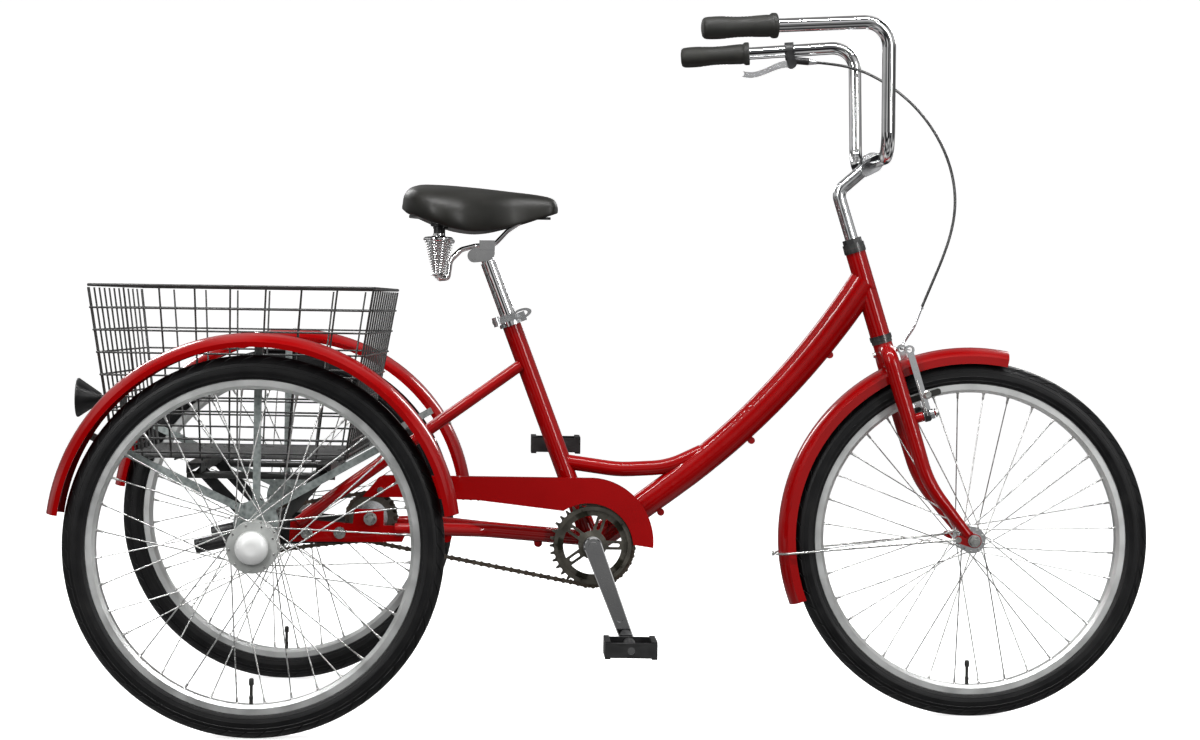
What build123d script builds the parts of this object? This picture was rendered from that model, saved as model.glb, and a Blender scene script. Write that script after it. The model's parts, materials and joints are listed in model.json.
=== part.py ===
"""Adult tricycle: step-through frame, 24-inch wheels, rear wire basket, single-speed two-chain drive.

Millimetres. Origin on the ground under the middle of the machine, +X forward, +Y to the left, +Z up.
Every piece is a node of its own; repeated small fasteners share one node as a group of solids.
"""
from build123d import *
from math import acos, asin, atan2, cos, degrees, hypot, pi, radians, sin, sqrt
import os

os.makedirs("parts", exist_ok=True)

# ---------------------------------------------------------------- driving dimensions
WHEEL_R = 300.0
REAR_X = -573.0
WHEELBASE = 1179.0
FRONT_X = REAR_X + WHEELBASE
HALF_TRACK = 325.0
TYRE_R = 23.5
RIM_OUTER_R = 262.0
RIM_INNER_R = 247.0
RIM_HALF_W = 14.6
SPOKE_R = 1.1
SPOKES = 36
CROSS_DEG = 60.0

AXLE_R = 8.5
RUNNING = 0.05

CHAIN_PITCH = 12.7
ROLLER_R = 3.85
TIP_RISE = 3.2
SEAT_GAP = 0.3
RING_TEETH = 34
JACK_TEETH = 20
AXLE_TEETH = 18
FRONT_LINKS = 86
REAR_LINKS = 46
FRONT_CHAIN_Y = -45.0
REAR_CHAIN_Y = -28.0
JACK_X = REAR_X + 169.5
JACK_Z = WHEEL_R + 25.1
BB_X = JACK_X + 371.3
BB_Z = JACK_Z - 41.3

CRANK_LENGTH = 170.0
CRANK_FORWARD_DEG = 21.0
CRANK_Y = 74.0
PEDAL_Y = 135.0

HEAD_LOW = Vector(451.0, 0, 641.4)
HEAD_UP = Vector(-0.2969, 0, 0.9549)
HEAD_FWD = Vector(0.9549, 0, 0.2969)
HEAD_LENGTH = 146.0
HEAD_R = 17.0
STEERER_R = 12.7

SEAT_TOP = Vector(-178.0, 0, 663.4)
SEAT_UP = (SEAT_TOP - Vector(BB_X, 0, BB_Z)).normalized()
SEAT_TUBE_R = 15.9
POST_R = 13.5
POST_TOP = SEAT_TOP + SEAT_UP * 99.6

FENDER_T = 1.6
FRONT_FENDER_R = 323.0
REAR_FENDER_R = 326.0
FENDER_RISE = 9.0
FENDER_SHIFT_X = {1: 8.0, -1: -1.0}
GUARD_Y = -58.0
STAY_R = 11.0
PLATE_Y = 74.0

BASKET_TOP_Z = 707.0
BASKET_LOW_Z = 430.0
BASKET_TOP = (-854.0, -394.0, 240.0)
BASKET_LOW = (-814.0, -440.0, 205.0)
WIRE_R = 1.6
RIM_WIRE_R = 2.5

BAR_R = 11.1
BAR_X = 429.0
RISER_Y = 205.0
GRIP_Y = 245.0

# ---------------------------------------------------------------- shared frames and helpers
HEAD_PLANE = Plane(origin=HEAD_LOW, x_dir=(0, 1, 0), z_dir=HEAD_UP)
SEAT_PLANE = Plane(origin=SEAT_TOP, x_dir=(0, 1, 0), z_dir=SEAT_UP)


def save(piece, label):
    """Label one finished piece and write its STEP file."""
    piece.label = label
    export_step(piece, f"parts/{label}.step")


def head(s, f=0.0, y=0.0):
    """A point by its height up the steering axis, its offset forward of it and its side."""
    return HEAD_LOW + HEAD_UP * s + HEAD_FWD * f + Vector(0, y, 0)


def side_plane(y, x=0.0, z=0.0):
    """A plane facing the right-hand side, its X forward and its Y up."""
    return Plane(origin=(x, y, z), x_dir=(1, 0, 0), z_dir=(0, -1, 0))


def rod(start, end, radius):
    """A straight round bar between two points."""
    start = Vector(*start) if isinstance(start, tuple) else start
    end = Vector(*end) if isinstance(end, tuple) else end
    with BuildPart() as bar:
        with BuildSketch(Plane(origin=start, z_dir=end - start)):
            Circle(radius)
        extrude(amount=(end - start).length)
    return bar.part


def bent(points, bends, radius):
    """A round bar along straight runs joined by tangent arcs."""
    with BuildPart() as bar:
        with BuildLine() as path:
            FilletPolyline(*points, radius=bends)
        with BuildSketch(Plane(origin=path.line @ 0, z_dir=path.line % 0)):
            Circle(radius)
        sweep(path=path.line)
    return bar.part


def disc(y, radius, thick, x=0.0, z=0.0, hole=0.0):
    """A washer-shaped disc across the machine, its middle at y."""
    with BuildPart() as plate:
        with BuildSketch(side_plane(y, x, z)):
            Circle(radius)
            if hole > 0:
                Circle(hole, mode=Mode.SUBTRACT)
        extrude(amount=thick / 2, both=True)
    return plate.part


def spun(profile, x, z):
    """A closed outline of (radius, y) points turned about a crosswise axis at x, z."""
    plane = Plane(origin=(x, 0, z), x_dir=(1, 0, 0), z_dir=(0, 0, 1))
    with BuildPart() as body:
        with BuildSketch(plane):
            with BuildLine():
                Polyline(*profile, close=True)
            make_face()
        revolve(axis=Axis((x, 0, z), (0, 1, 0)))
    return body.part


def hex_nut(y, radius, thick, x, z, hole):
    """A hexagonal nut on a crosswise bolt."""
    with BuildPart() as nut:
        with BuildSketch(side_plane(y, x, z)):
            RegularPolygon(radius, 6)
            Circle(hole, mode=Mode.SUBTRACT)
        extrude(amount=thick / 2, both=True)
    return nut.part


def both_sides(piece):
    """A piece and its mirror image across the middle plane."""
    return [piece, mirror(piece, about=Plane.XZ)]


# ---------------------------------------------------------------- wheels
def tyre(x, y):
    """A hollow tyre whose beads sit inside the rim, with its valve and cap as further solids."""
    centre_r = WHEEL_R - TYRE_R
    wall = 3.0
    bead = RIM_HALF_W - 1.8
    toe_r, edge_r, shoulder_r = 256.0, RIM_OUTER_R + 0.4, RIM_OUTER_R + 3.4
    edge_y = sqrt(TYRE_R**2 - (centre_r - edge_r) ** 2)
    shoulder_y = sqrt((TYRE_R - wall) ** 2 - (centre_r - shoulder_r) ** 2)
    plane = Plane(origin=(x, y, WHEEL_R), x_dir=(1, 0, 0), z_dir=(0, 0, 1))
    with BuildPart() as body:
        with BuildSketch(plane):
            with BuildLine():
                Polyline((toe_r, bead), (edge_r, bead), (edge_r, edge_y))
                ThreePointArc((edge_r, edge_y), (WHEEL_R, 0), (edge_r, -edge_y))
                Polyline((edge_r, -edge_y), (edge_r, -bead), (toe_r, -bead), (toe_r, wall - bead))
                Polyline((toe_r, wall - bead), (shoulder_r, wall - bead), (shoulder_r, -shoulder_y))
                ThreePointArc((shoulder_r, -shoulder_y), (WHEEL_R - wall, 0), (shoulder_r, shoulder_y))
                Polyline((shoulder_r, shoulder_y), (shoulder_r, bead - wall))
                Polyline((shoulder_r, bead - wall), (toe_r, bead - wall), (toe_r, bead))
            make_face()
        revolve(axis=Axis((x, y, WHEEL_R), (0, 1, 0)))
    valve = rod((x, y, WHEEL_R - 256.0), (x, y, WHEEL_R - 214.0), 3.0)
    valve_cap = rod((x, y, WHEEL_R - 213.9), (x, y, WHEEL_R - 206.0), 4.0)
    return Compound(children=[body.part, valve, valve_cap])


def rim(x, y):
    """A channel-section rim with the valve hole at the bottom."""
    plane = Plane(origin=(x, y, WHEEL_R), x_dir=(1, 0, 0), z_dir=(0, 0, 1))
    lip = RIM_HALF_W - 1.5
    with BuildPart() as body:
        with BuildSketch(plane):
            with BuildLine():
                Polyline(
                    (RIM_OUTER_R, RIM_HALF_W), (252.0, RIM_HALF_W), (RIM_INNER_R, 9.0),
                    (RIM_INNER_R, -9.0), (252.0, -RIM_HALF_W), (RIM_OUTER_R, -RIM_HALF_W),
                    (RIM_OUTER_R, -lip), (254.5, -lip), (249.5, -8.0),
                    (249.5, 8.0), (254.5, lip), (RIM_OUTER_R, lip),
                    close=True,
                )
            make_face()
        revolve(axis=Axis((x, y, WHEEL_R), (0, 1, 0)))
        with BuildSketch(Plane(origin=(x, y, WHEEL_R - 244.0), z_dir=(0, 0, -1))):
            Circle(3.2)
        extrude(amount=8.0, mode=Mode.SUBTRACT)
    return body.part


def spokes(x, y, hole_r, near_y, far_y):
    """Crossed spokes between two hub flanges and the rim, each a solid of its own."""
    made = []
    for k in range(SPOKES):
        rim_deg = 360.0 / SPOKES * (k + 0.5)
        flange_y = near_y if k % 2 == 0 else far_y
        lean = CROSS_DEG if (k // 2) % 2 == 0 else -CROSS_DEG
        step = 0.9 if lean > 0 else -0.9
        hub = radians(rim_deg + lean)
        out = radians(rim_deg)
        start = (x + hole_r * cos(hub), flange_y + step, WHEEL_R + hole_r * sin(hub))
        tip_y = y + (3.0 if flange_y > y else -3.0)
        end = (x + 248.0 * cos(out), tip_y, WHEEL_R + 248.0 * sin(out))
        made.append(rod(start, end, SPOKE_R))
    return Compound(children=made)


save(tyre(FRONT_X, 0), "front_tyre")
save(rim(FRONT_X, 0), "front_rim")
save(spokes(FRONT_X, 0, 19.0, -31.0, 31.0), "front_spokes")
save(tyre(REAR_X, -HALF_TRACK), "right_wheel_tyre")
save(rim(REAR_X, -HALF_TRACK), "right_wheel_rim")
save(spokes(REAR_X, -HALF_TRACK, 36.0, -350.0, -300.0), "right_wheel_spokes")
save(tyre(REAR_X, HALF_TRACK), "left_wheel_tyre")
save(rim(REAR_X, HALF_TRACK), "left_wheel_rim")
save(spokes(REAR_X, HALF_TRACK, 36.0, 350.0, 300.0), "left_wheel_spokes")

# front hub: a barrel with two flanges that runs on the axle
FRONT_AXLE_R = 4.75
AXLE_END_R = 4.5
hub_bore = FRONT_AXLE_R + RUNNING
front_hub_profile = [
    (hub_bore, -38.0), (12.0, -38.0), (12.0, -33.0), (22.5, -33.0), (22.5, -29.0), (13.0, -26.0),
    (10.5, 0.0), (13.0, 26.0), (22.5, 29.0), (22.5, 33.0), (12.0, 33.0), (12.0, 38.0), (hub_bore, 38.0),
]
save(spun(front_hub_profile, FRONT_X, WHEEL_R), "front_hub")


def rear_hub(side, bore):
    """A wide-flanged hub shell with a domed dust cap on its outer end."""
    shell = spun(
        [
            (bore, side * 290.0), (24.0, side * 290.0), (24.0, side * 298.0), (40.0, side * 298.0),
            (40.0, side * 302.0), (24.0, side * 306.0), (20.0, side * 325.0), (24.0, side * 345.0),
            (40.0, side * 348.0), (40.0, side * 352.0), (27.0, side * 353.0), (26.0, side * 359.0),
            (22.5, side * 359.0), (22.5, side * 347.0), (bore, side * 347.0),
        ],
        REAR_X, WHEEL_R,
    )
    plane = Plane(origin=(REAR_X, 0, WHEEL_R), x_dir=(1, 0, 0), z_dir=(0, 0, 1))
    with BuildPart() as cap:
        with BuildSketch(plane):
            with BuildLine():
                Polyline((0, side * 370.0), (8.0, side * 370.0))
                RadiusArc((8.0, side * 370.0), (24.5, side * 363.0), 24.0 * side)
                Polyline((24.5, side * 363.0), (24.5, side * 359.1), (22.3, side * 359.1))
                Polyline((22.3, side * 359.1), (22.3, side * 362.0), (8.0, side * 368.0))
                Polyline((8.0, side * 368.0), (0, side * 368.0), (0, side * 370.0))
            make_face()
        revolve(axis=Axis((REAR_X, 0, WHEEL_R), (0, 1, 0)))
    return Compound(children=[shell, cap.part])


save(rear_hub(-1, AXLE_R), "right_wheel_hub")
save(rear_hub(1, AXLE_R + RUNNING), "left_wheel_hub")

# ---------------------------------------------------------------- chain drive
def pitch_radius(teeth):
    """Radius of the circle that the chain's pins lie on."""
    return CHAIN_PITCH / (2 * sin(pi / teeth))


def on_circle(centre, radius, angle):
    """The point of a circle at an angle in radians."""
    return (centre[0] + radius * cos(angle), centre[1] + radius * sin(angle))


def hung_run(start, end, links):
    """Pins of a slack run between two fixed pins: equal chords of a shallow arc that hangs down."""
    span = hypot(end[0] - start[0], end[1] - start[1])
    low, high = span, span * 400.0
    for _ in range(80):
        mid = (low + high) / 2
        reach = 2 * mid * sin(links * asin(CHAIN_PITCH / (2 * mid)))
        low, high = (low, mid) if reach > span else (mid, high)
    turn = 2 * links * asin(CHAIN_PITCH / (2 * low))
    along = atan2(end[1] - start[1], end[0] - start[0])
    heading = along - turn / 2 + turn / (2 * links)
    pins = [start]
    for k in range(links - 1):
        x, z = pins[-1]
        pins.append((x + CHAIN_PITCH * cos(heading), z + CHAIN_PITCH * sin(heading)))
        heading += turn / links
    return pins[1:]


def chain_pins(rear, rear_teeth, front, front_teeth, links):
    """Pin centres of a closed chain, taut on top, from the rear sprocket forward and round."""
    rear_r = pitch_radius(rear_teeth)
    front_r = pitch_radius(front_teeth)
    dx, dz = front[0] - rear[0], front[1] - rear[1]
    gap = hypot(dx, dz)
    tangent = atan2(dz, dx) + acos((rear_r - front_r) / gap)
    heading = tangent - pi / 2
    pins = [on_circle(rear, rear_r, tangent)]
    straight = int(gap * sin(tangent - atan2(dz, dx)) / CHAIN_PITCH)
    for _ in range(straight):
        x, z = pins[-1]
        pins.append((x + CHAIN_PITCH * cos(heading), z + CHAIN_PITCH * sin(heading)))
    last_x, last_z = pins[-1][0] - front[0], pins[-1][1] - front[1]
    reach = hypot(last_x, last_z)
    swing = acos((reach**2 + front_r**2 - CHAIN_PITCH**2) / (2 * reach * front_r))
    first = atan2(last_z, last_x) - swing
    lower = 2 * atan2(dz, dx) - tangent
    step = 2 * pi / front_teeth
    on_front = int((first - lower) / step) + 2
    pins += [on_circle(front, front_r, first - k * step) for k in range(on_front)]
    step = 2 * pi / rear_teeth
    on_rear = int((2 * pi + lower - tangent) / step) + 1
    back = [on_circle(rear, rear_r, tangent + k * step) for k in range(on_rear, 0, -1)]
    spare = links - len(pins) - len(back) + 1
    pins += hung_run(pins[-1], back[0], spare)
    return pins + back, first


def chain(pins, y):
    """Alternate outer and inner links, each a solid of its own, on a closed list of pins."""
    outer_shape = chain_link(3.7, 4.7, 1.8, 0.0, 4.6)
    inner_shape = chain_link(2.5, 3.5, ROLLER_R, 1.85, 2.6)
    links = []
    for k, (x, z) in enumerate(pins):
        next_x, next_z = pins[(k + 1) % len(pins)]
        angle = degrees(atan2(next_z - z, next_x - x))
        place = Location(side_plane(y, (x + next_x) / 2, (z + next_z) / 2))
        shape = outer_shape if k % 2 == 0 else inner_shape
        links.append(shape.moved(place * Location((0, 0, 0), (0, 0, angle))))
    return Compound(children=links)


def chain_link(inside, outside, pin_r, bore_r, pin_half):
    """Two waisted plates joined by two pins or two rollers, in the XY plane."""
    with BuildPart() as link:
        for side in (1, -1):
            with BuildSketch(Plane.XY.offset(side * (inside + outside) / 2)):
                with Locations((-CHAIN_PITCH / 2, 0), (CHAIN_PITCH / 2, 0)):
                    Circle(4.1)
                Rectangle(CHAIN_PITCH, 5.6)
            extrude(amount=(outside - inside) / 2, both=True)
        with BuildSketch():
            with Locations((-CHAIN_PITCH / 2, 0), (CHAIN_PITCH / 2, 0)):
                Circle(pin_r)
        extrude(amount=pin_half if bore_r == 0 else inside, both=True)
        if bore_r > 0:
            with BuildSketch():
                with Locations((-CHAIN_PITCH / 2, 0), (CHAIN_PITCH / 2, 0)):
                    Circle(bore_r)
            extrude(amount=outside, both=True, mode=Mode.SUBTRACT)
    return link.part


def toothed(plane, teeth, phase, half_thick, bore):
    """A sprocket whose tooth gaps seat the chain's rollers."""
    ring_r = pitch_radius(teeth)
    with BuildPart() as wheel:
        with BuildSketch(plane):
            Circle(ring_r + TIP_RISE)
            with PolarLocations(ring_r, teeth, start_angle=phase):
                Circle(ROLLER_R + SEAT_GAP, mode=Mode.SUBTRACT)
                Polygon((-0.5, -4.0), (6.0, -6.4), (6.0, 6.4), (-0.5, 4.0), align=None, mode=Mode.SUBTRACT)
            Circle(bore, mode=Mode.SUBTRACT)
        extrude(amount=half_thick, both=True)
    return wheel.part


JACK = (JACK_X, JACK_Z)
front_pins, ring_phase = chain_pins(JACK, JACK_TEETH, (BB_X, BB_Z), RING_TEETH, FRONT_LINKS)
rear_pins, jack_phase = chain_pins((REAR_X, WHEEL_R), AXLE_TEETH, JACK, JACK_TEETH, REAR_LINKS)
front_jack_phase = degrees(atan2(front_pins[0][1] - JACK_Z, front_pins[0][0] - JACK_X))
axle_phase = degrees(atan2(rear_pins[0][1] - WHEEL_R, rear_pins[0][0] - REAR_X))

save(chain(front_pins, FRONT_CHAIN_Y), "front_chain")
save(chain(rear_pins, REAR_CHAIN_Y), "rear_chain")

FRONT_RING_PLANE = side_plane(FRONT_CHAIN_Y, BB_X, BB_Z)
with BuildPart() as chainring:
    add(toothed(FRONT_RING_PLANE, RING_TEETH, degrees(ring_phase), 1.5, 53.0))
    with BuildSketch(FRONT_RING_PLANE):
        Circle(56.0)
        Circle(49.0, mode=Mode.SUBTRACT)
        Circle(24.0)
        Circle(8.0 + RUNNING, mode=Mode.SUBTRACT)
        with PolarLocations(36.0, 5):
            Rectangle(32.0, 15.0)
            SlotOverall(19.0, 6.0, mode=Mode.SUBTRACT)
    extrude(amount=1.5, both=True)
    with BuildSketch(side_plane(FRONT_CHAIN_Y - 7.5, BB_X, BB_Z)):
        Circle(65.0)
        Circle(58.5, mode=Mode.SUBTRACT)
    extrude(amount=1.0, both=True)
    with BuildSketch(side_plane(FRONT_CHAIN_Y - 4.0, BB_X, BB_Z)):
        with PolarLocations(60.5, 5, start_angle=36.0):
            Circle(2.6)
    extrude(amount=3.0, both=True)
save(chainring.part, "chainring")

jack_sprockets = [
    toothed(side_plane(FRONT_CHAIN_Y, *JACK), JACK_TEETH, front_jack_phase, 1.4, 19.0),
    toothed(side_plane(REAR_CHAIN_Y, *JACK), JACK_TEETH, degrees(jack_phase), 1.4, 19.0),
]
save(Compound(children=jack_sprockets), "jackshaft_sprockets")

# jackshaft: a fixed axle with nuts, and a hub shell that carries both sprockets
JACK_AXLE_R = 5.0
jack_bore = JACK_AXLE_R + RUNNING
jack_profile = [
    (jack_bore, -61.0), (12.0, -61.0), (12.0, -55.0), (28.0, -53.0), (28.0, -50.5), (19.0, -49.0),
    (19.0, -23.0), (24.0, -21.0), (21.0, 0.0), (21.0, 36.0), (15.0, 50.0), (12.0, 61.0), (jack_bore, 61.0),
]
save(spun(jack_profile, JACK_X, JACK_Z), "jackshaft_hub")

jack_axle_pieces = [rod((JACK_X, -94, JACK_Z), (JACK_X, 94, JACK_Z), JACK_AXLE_R)]
for side in (1, -1):
    jack_axle_pieces.append(disc(side * 66.4, 9.0, 9.8, JACK_X, JACK_Z, JACK_AXLE_R))
    jack_axle_pieces.append(disc(side * 77.6, 11.0, 1.8, JACK_X, JACK_Z, JACK_AXLE_R))
    jack_axle_pieces.append(hex_nut(side * 82.6, 9.5, 8.0, JACK_X, JACK_Z, JACK_AXLE_R))
save(Compound(children=jack_axle_pieces), "jackshaft_axle")

axle_sprocket = toothed(side_plane(REAR_CHAIN_Y, REAR_X, WHEEL_R), AXLE_TEETH, axle_phase, 1.4, AXLE_R)
axle_boss = disc(REAR_CHAIN_Y + 6.4, 18.0, 10.0, REAR_X, WHEEL_R, AXLE_R)
rear_axle_pieces = [rod((REAR_X, -356, WHEEL_R), (REAR_X, 356, WHEEL_R), AXLE_R)]
rear_axle_pieces += [axle_sprocket, axle_boss]
for side in (1, -1):
    rear_axle_pieces.append(hex_nut(side * 351.6, 14.0, 8.4, REAR_X, WHEEL_R, AXLE_R))
save(Compound(children=rear_axle_pieces), "rear_axle")

# ---------------------------------------------------------------- crankset and pedals
SPINDLE_R = 8.0
crank_turn = radians(CRANK_FORWARD_DEG)


def crank(side):
    """A fluted arm, its boss on the spindle, and the pedal axle screwed into its eye."""
    reach = -side * CRANK_LENGTH
    eye_x = reach * sin(crank_turn)
    eye_z = -reach * cos(crank_turn)
    with BuildPart() as arm:
        with BuildSketch(side_plane(side * CRANK_Y, BB_X, BB_Z)):
            Circle(15.0)
            with Locations((eye_x, eye_z)):
                Circle(11.5)
            make_hull()
        extrude(amount=7.0, both=True)
        chamfer(arm.edges().group_by(Axis.Y)[0 if side < 0 else -1], 1.5)
        with BuildSketch(side_plane(side * 57.0, BB_X, BB_Z)):
            Circle(16.0)
        extrude(amount=10.4, both=True)
        with BuildSketch(side_plane(side * (CRANK_Y + 7.0), BB_X, BB_Z)):
            with Locations((eye_x / 2, eye_z / 2)):
                SlotOverall(96.0, 11.0, rotation=degrees(atan2(eye_z, eye_x)))
        extrude(amount=2.5, both=True, mode=Mode.SUBTRACT)
        with BuildSketch(side_plane(side * CRANK_Y, BB_X, BB_Z)):
            Circle(SPINDLE_R)
            with Locations((eye_x, eye_z)):
                Circle(6.0)
        extrude(amount=40.0, both=True, mode=Mode.SUBTRACT)
    x, z = BB_X + eye_x, BB_Z + eye_z
    pieces = [arm.part, rod((x, side * 66.5, z), (x, side * 178.0, z), 6.0)]
    if side < 0:
        pieces.append(rod((BB_X, -84, BB_Z), (BB_X, 84, BB_Z), SPINDLE_R))
    return Compound(children=pieces), x, z


def pedal(side, x, z):
    """A cage pedal: a barrel between end plates, with toothed bars front and back."""
    with BuildPart() as body:
        with BuildSketch(side_plane(side * PEDAL_Y, x, z)):
            Circle(11.0)
            Rectangle(80.0, 6.0)
            with Locations((-38.0, 0), (38.0, 0)):
                Rectangle(9.0, 24.0)
        extrude(amount=45.0, both=True)
        for end in (-1, 1):
            with BuildSketch(side_plane(side * PEDAL_Y + end * 42.0, x, z)):
                RectangleRounded(85.0, 24.0, 5.0)
            extrude(amount=3.0, both=True)
        with BuildSketch(Plane(origin=(x, side * PEDAL_Y, z), z_dir=(0, 0, 1))):
            with Locations((-19.0, 0), (19.0, 0)):
                Rectangle(12.0, 66.0)
        extrude(amount=12.0, both=True, mode=Mode.SUBTRACT)
        with BuildSketch(Plane(origin=(x, side * PEDAL_Y, z), z_dir=(0, 0, 1))):
            with GridLocations(76.0, 11.0, 2, 8):
                Rectangle(9.0, 6.0)
        extrude(amount=14.5, both=True)
        with BuildSketch(side_plane(side * PEDAL_Y, x, z)):
            Circle(6.0 + RUNNING)
        extrude(amount=60.0, both=True, mode=Mode.SUBTRACT)
    return body.part


for side, name in ((-1, "right"), (1, "left")):
    arm, pedal_x, pedal_z = crank(side)
    save(arm, f"{name}_crank")
    save(pedal(side, pedal_x, pedal_z), f"{name}_pedal")

# ---------------------------------------------------------------- frame
STAY_WALL = 1.8
SEAT_STAY_R = 9.5
PLATE_T = 5.0


def oval_tube(points_end, half_tall, half_wide, end_tall):
    """The down tube's body: straight from the bottom bracket, then one long curve to the head tube."""
    with BuildPart() as tube:
        with BuildLine() as path:
            straight = Line((BB_X, 0, BB_Z), (102.0, 0, 384.0))
            TangentArc(straight @ 1, points_end, tangent=straight % 1)
        with BuildSketch(Plane(origin=path.line @ 0, x_dir=(0, 1, 0), z_dir=path.line % 0)):
            Ellipse(half_wide, half_tall)
        with BuildSketch(Plane(origin=path.line @ 1, x_dir=(0, 1, 0), z_dir=path.line % 1)):
            Ellipse(half_wide, end_tall)
        sweep(path=path.line, multisection=True)
    return tube.part


def chainstay(side, radius, inset):
    """One lower stay: beside the bottom bracket, then out to the rear plate."""
    points = [
        (-40.0 - inset, side * 20.0, 291.0), (-215.0, side * 27.0, 304.0),
        (-305.0, side * PLATE_Y, 309.0), (-362.0 + inset, side * PLATE_Y, 307.0),
    ]
    return bent(points, [60.0, 38.0], radius)


def seat_stay(side, radius, inset):
    """One upper stay: straight from the seat tube down and out to the rear plate."""
    top = Vector(-157.0, side * 12.0, 582.0)
    foot = Vector(-524.0, side * (PLATE_Y + 1.5), 317.0)
    along = (foot - top).normalized()
    return rod(top + along * inset, foot - along * inset, radius)


PLATE_OUTLINE = [
    (-538.0, 285.5), (-350.0, 287.0), (-344.0, 300.0), (-350.0, 313.5), (-381.0, 314.5), (-381.0, 341.0),
    (-430.0, 341.0), (-432.0, 316.5), (-516.0, 322.0), (-536.0, 318.0),
]
CARRIER_BOLTS = [(-509.0, 300.0), (-454.0, 301.0)]

with BuildPart() as main_frame:
    add(rod(HEAD_LOW, HEAD_LOW + HEAD_UP * HEAD_LENGTH, HEAD_R))
    add(oval_tube((423.1, 0, 731.0), 22.0, 19.0, 26.0))
    add(rod((BB_X, 0, BB_Z), SEAT_TOP, SEAT_TUBE_R))
    add(bent([(-84.5, 0, 421), (12, 0, 408), (96, 0, 413), (152, 0, 440)], [200.0, 140.0], 12.5))
    add(rod((BB_X, -35, BB_Z), (BB_X, 35, BB_Z), 20.0))
    for side in (1, -1):
        add(chainstay(side, STAY_R, 0.0))
        add(seat_stay(side, SEAT_STAY_R, 0.0))
        with BuildSketch(side_plane(side * PLATE_Y)):
            with BuildLine():
                Polyline(*PLATE_OUTLINE, close=True)
            make_face()
        extrude(amount=PLATE_T / 2, both=True)
    add(rod((-123, -26, 284), (-123, 26, 284), 7.0))
    add(rod((-276, -60, 294), (-276, 60, 294), 8.0))
    for x, z in ((366.0, 607.0), (235.5, 460.5), (84.0, 337.0)):
        with BuildSketch(side_plane(0, x, z)):
            Circle(6.0)
        extrude(amount=5.0, both=True)
    add(oval_tube((423.1, 0, 731.0), 20.0, 17.0, 24.0), mode=Mode.SUBTRACT)
    for side in (1, -1):
        add(chainstay(side, STAY_R - STAY_WALL, 20.0), mode=Mode.SUBTRACT)
        add(seat_stay(side, SEAT_STAY_R - STAY_WALL, 24.0), mode=Mode.SUBTRACT)
        with BuildSketch(side_plane(side * PLATE_Y)):
            with Locations((JACK_X, JACK_Z)):
                Circle(JACK_AXLE_R)
            with Locations(*CARRIER_BOLTS):
                Circle(4.0)
        extrude(amount=20.0, both=True, mode=Mode.SUBTRACT)
    add(rod(HEAD_LOW - HEAD_UP * 5, HEAD_LOW + HEAD_UP * (HEAD_LENGTH + 5), 15.5), mode=Mode.SUBTRACT)
    add(rod(SEAT_TOP - SEAT_UP * 370, SEAT_TOP + SEAT_UP * 5, POST_R + RUNNING), mode=Mode.SUBTRACT)
    add(rod((BB_X, -40, BB_Z), (BB_X, 40, BB_Z), 17.0), mode=Mode.SUBTRACT)
save(main_frame.part, "main_frame")

cup_hole = STEERER_R + RUNNING
with BuildPart() as headset_cups:
    for low, high, radius in ((-8.0, 0.0, 18.8), (0.0, 12.0, 15.5)):
        with BuildSketch(HEAD_PLANE.offset(low)):
            Circle(radius)
            Circle(cup_hole, mode=Mode.SUBTRACT)
        extrude(amount=high - low)
        with BuildSketch(HEAD_PLANE.offset(HEAD_LENGTH - high)):
            Circle(radius)
            Circle(cup_hole, mode=Mode.SUBTRACT)
        extrude(amount=high - low)

frame_bearings = headset_cups.part.solids()
for side in (1, -1):
    cup = spun(
        [
            (SPINDLE_R + RUNNING, side * 24.0), (17.0, side * 24.0), (17.0, side * 35.0),
            (19.5, side * 35.0), (19.5, side * 38.5), (SPINDLE_R + RUNNING, side * 38.5),
        ],
        BB_X, BB_Z,
    )
    frame_bearings.append(cup)

# seat clamp collar, its cross bolt at the back, and the quick-release lever
CLAMP_BOLT = SEAT_TOP - SEAT_UP * 6 + Vector(-22.5, 0, -3.0)
with BuildPart() as seat_clamp:
    with BuildSketch(SEAT_PLANE.offset(-15.0)):
        Circle(20.0)
        with Locations((0, -21.0)):
            Rectangle(18.0, 14.0)
    extrude(amount=16.0)
    add(rod(SEAT_TOP - SEAT_UP * 20, SEAT_TOP + SEAT_UP * 5, SEAT_TUBE_R), mode=Mode.SUBTRACT)
    add(rod(CLAMP_BOLT + Vector(0, 21, 0), CLAMP_BOLT - Vector(0, 16.8, 0), 4.0))
    add(rod(CLAMP_BOLT + Vector(0, 21, 0), CLAMP_BOLT + Vector(0, 12, 0), 7.5))
    add(rod(CLAMP_BOLT - Vector(0, 9, 0), CLAMP_BOLT - Vector(0, 14, 0), 7.0))
save(seat_clamp.part, "seat_clamp")

LEVER_REACH = 58.0
LEVER_BARREL_R = 6.2
lever_dir = Vector(0.944, 0, 0.330).normalized()
lever_pivot = CLAMP_BOLT - Vector(0, 23.5, 0)
lever_plane = Plane(origin=lever_pivot, x_dir=lever_dir, z_dir=(0, -1, 0))
with BuildPart() as qr_lever:
    with BuildSketch(lever_plane):
        with Locations((LEVER_REACH / 2 - 4.0, 0)):
            Rectangle(LEVER_REACH - 8.0, 11.0)
        with Locations((LEVER_REACH - 13.0, 0)):
            Ellipse(17.0, 8.5)
        with Locations((LEVER_REACH - 14.0, 0)):
            Ellipse(11.0, 4.6, mode=Mode.SUBTRACT)
    extrude(amount=2.2, both=True)
    barrel_half = lever_plane.y_dir * 8.0
    add(rod(lever_pivot - barrel_half, lever_pivot + barrel_half, LEVER_BARREL_R))
    add(rod(lever_pivot - barrel_half, lever_pivot + barrel_half, 2.5), mode=Mode.SUBTRACT)
save(qr_lever.part, "qr_lever")

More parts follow.
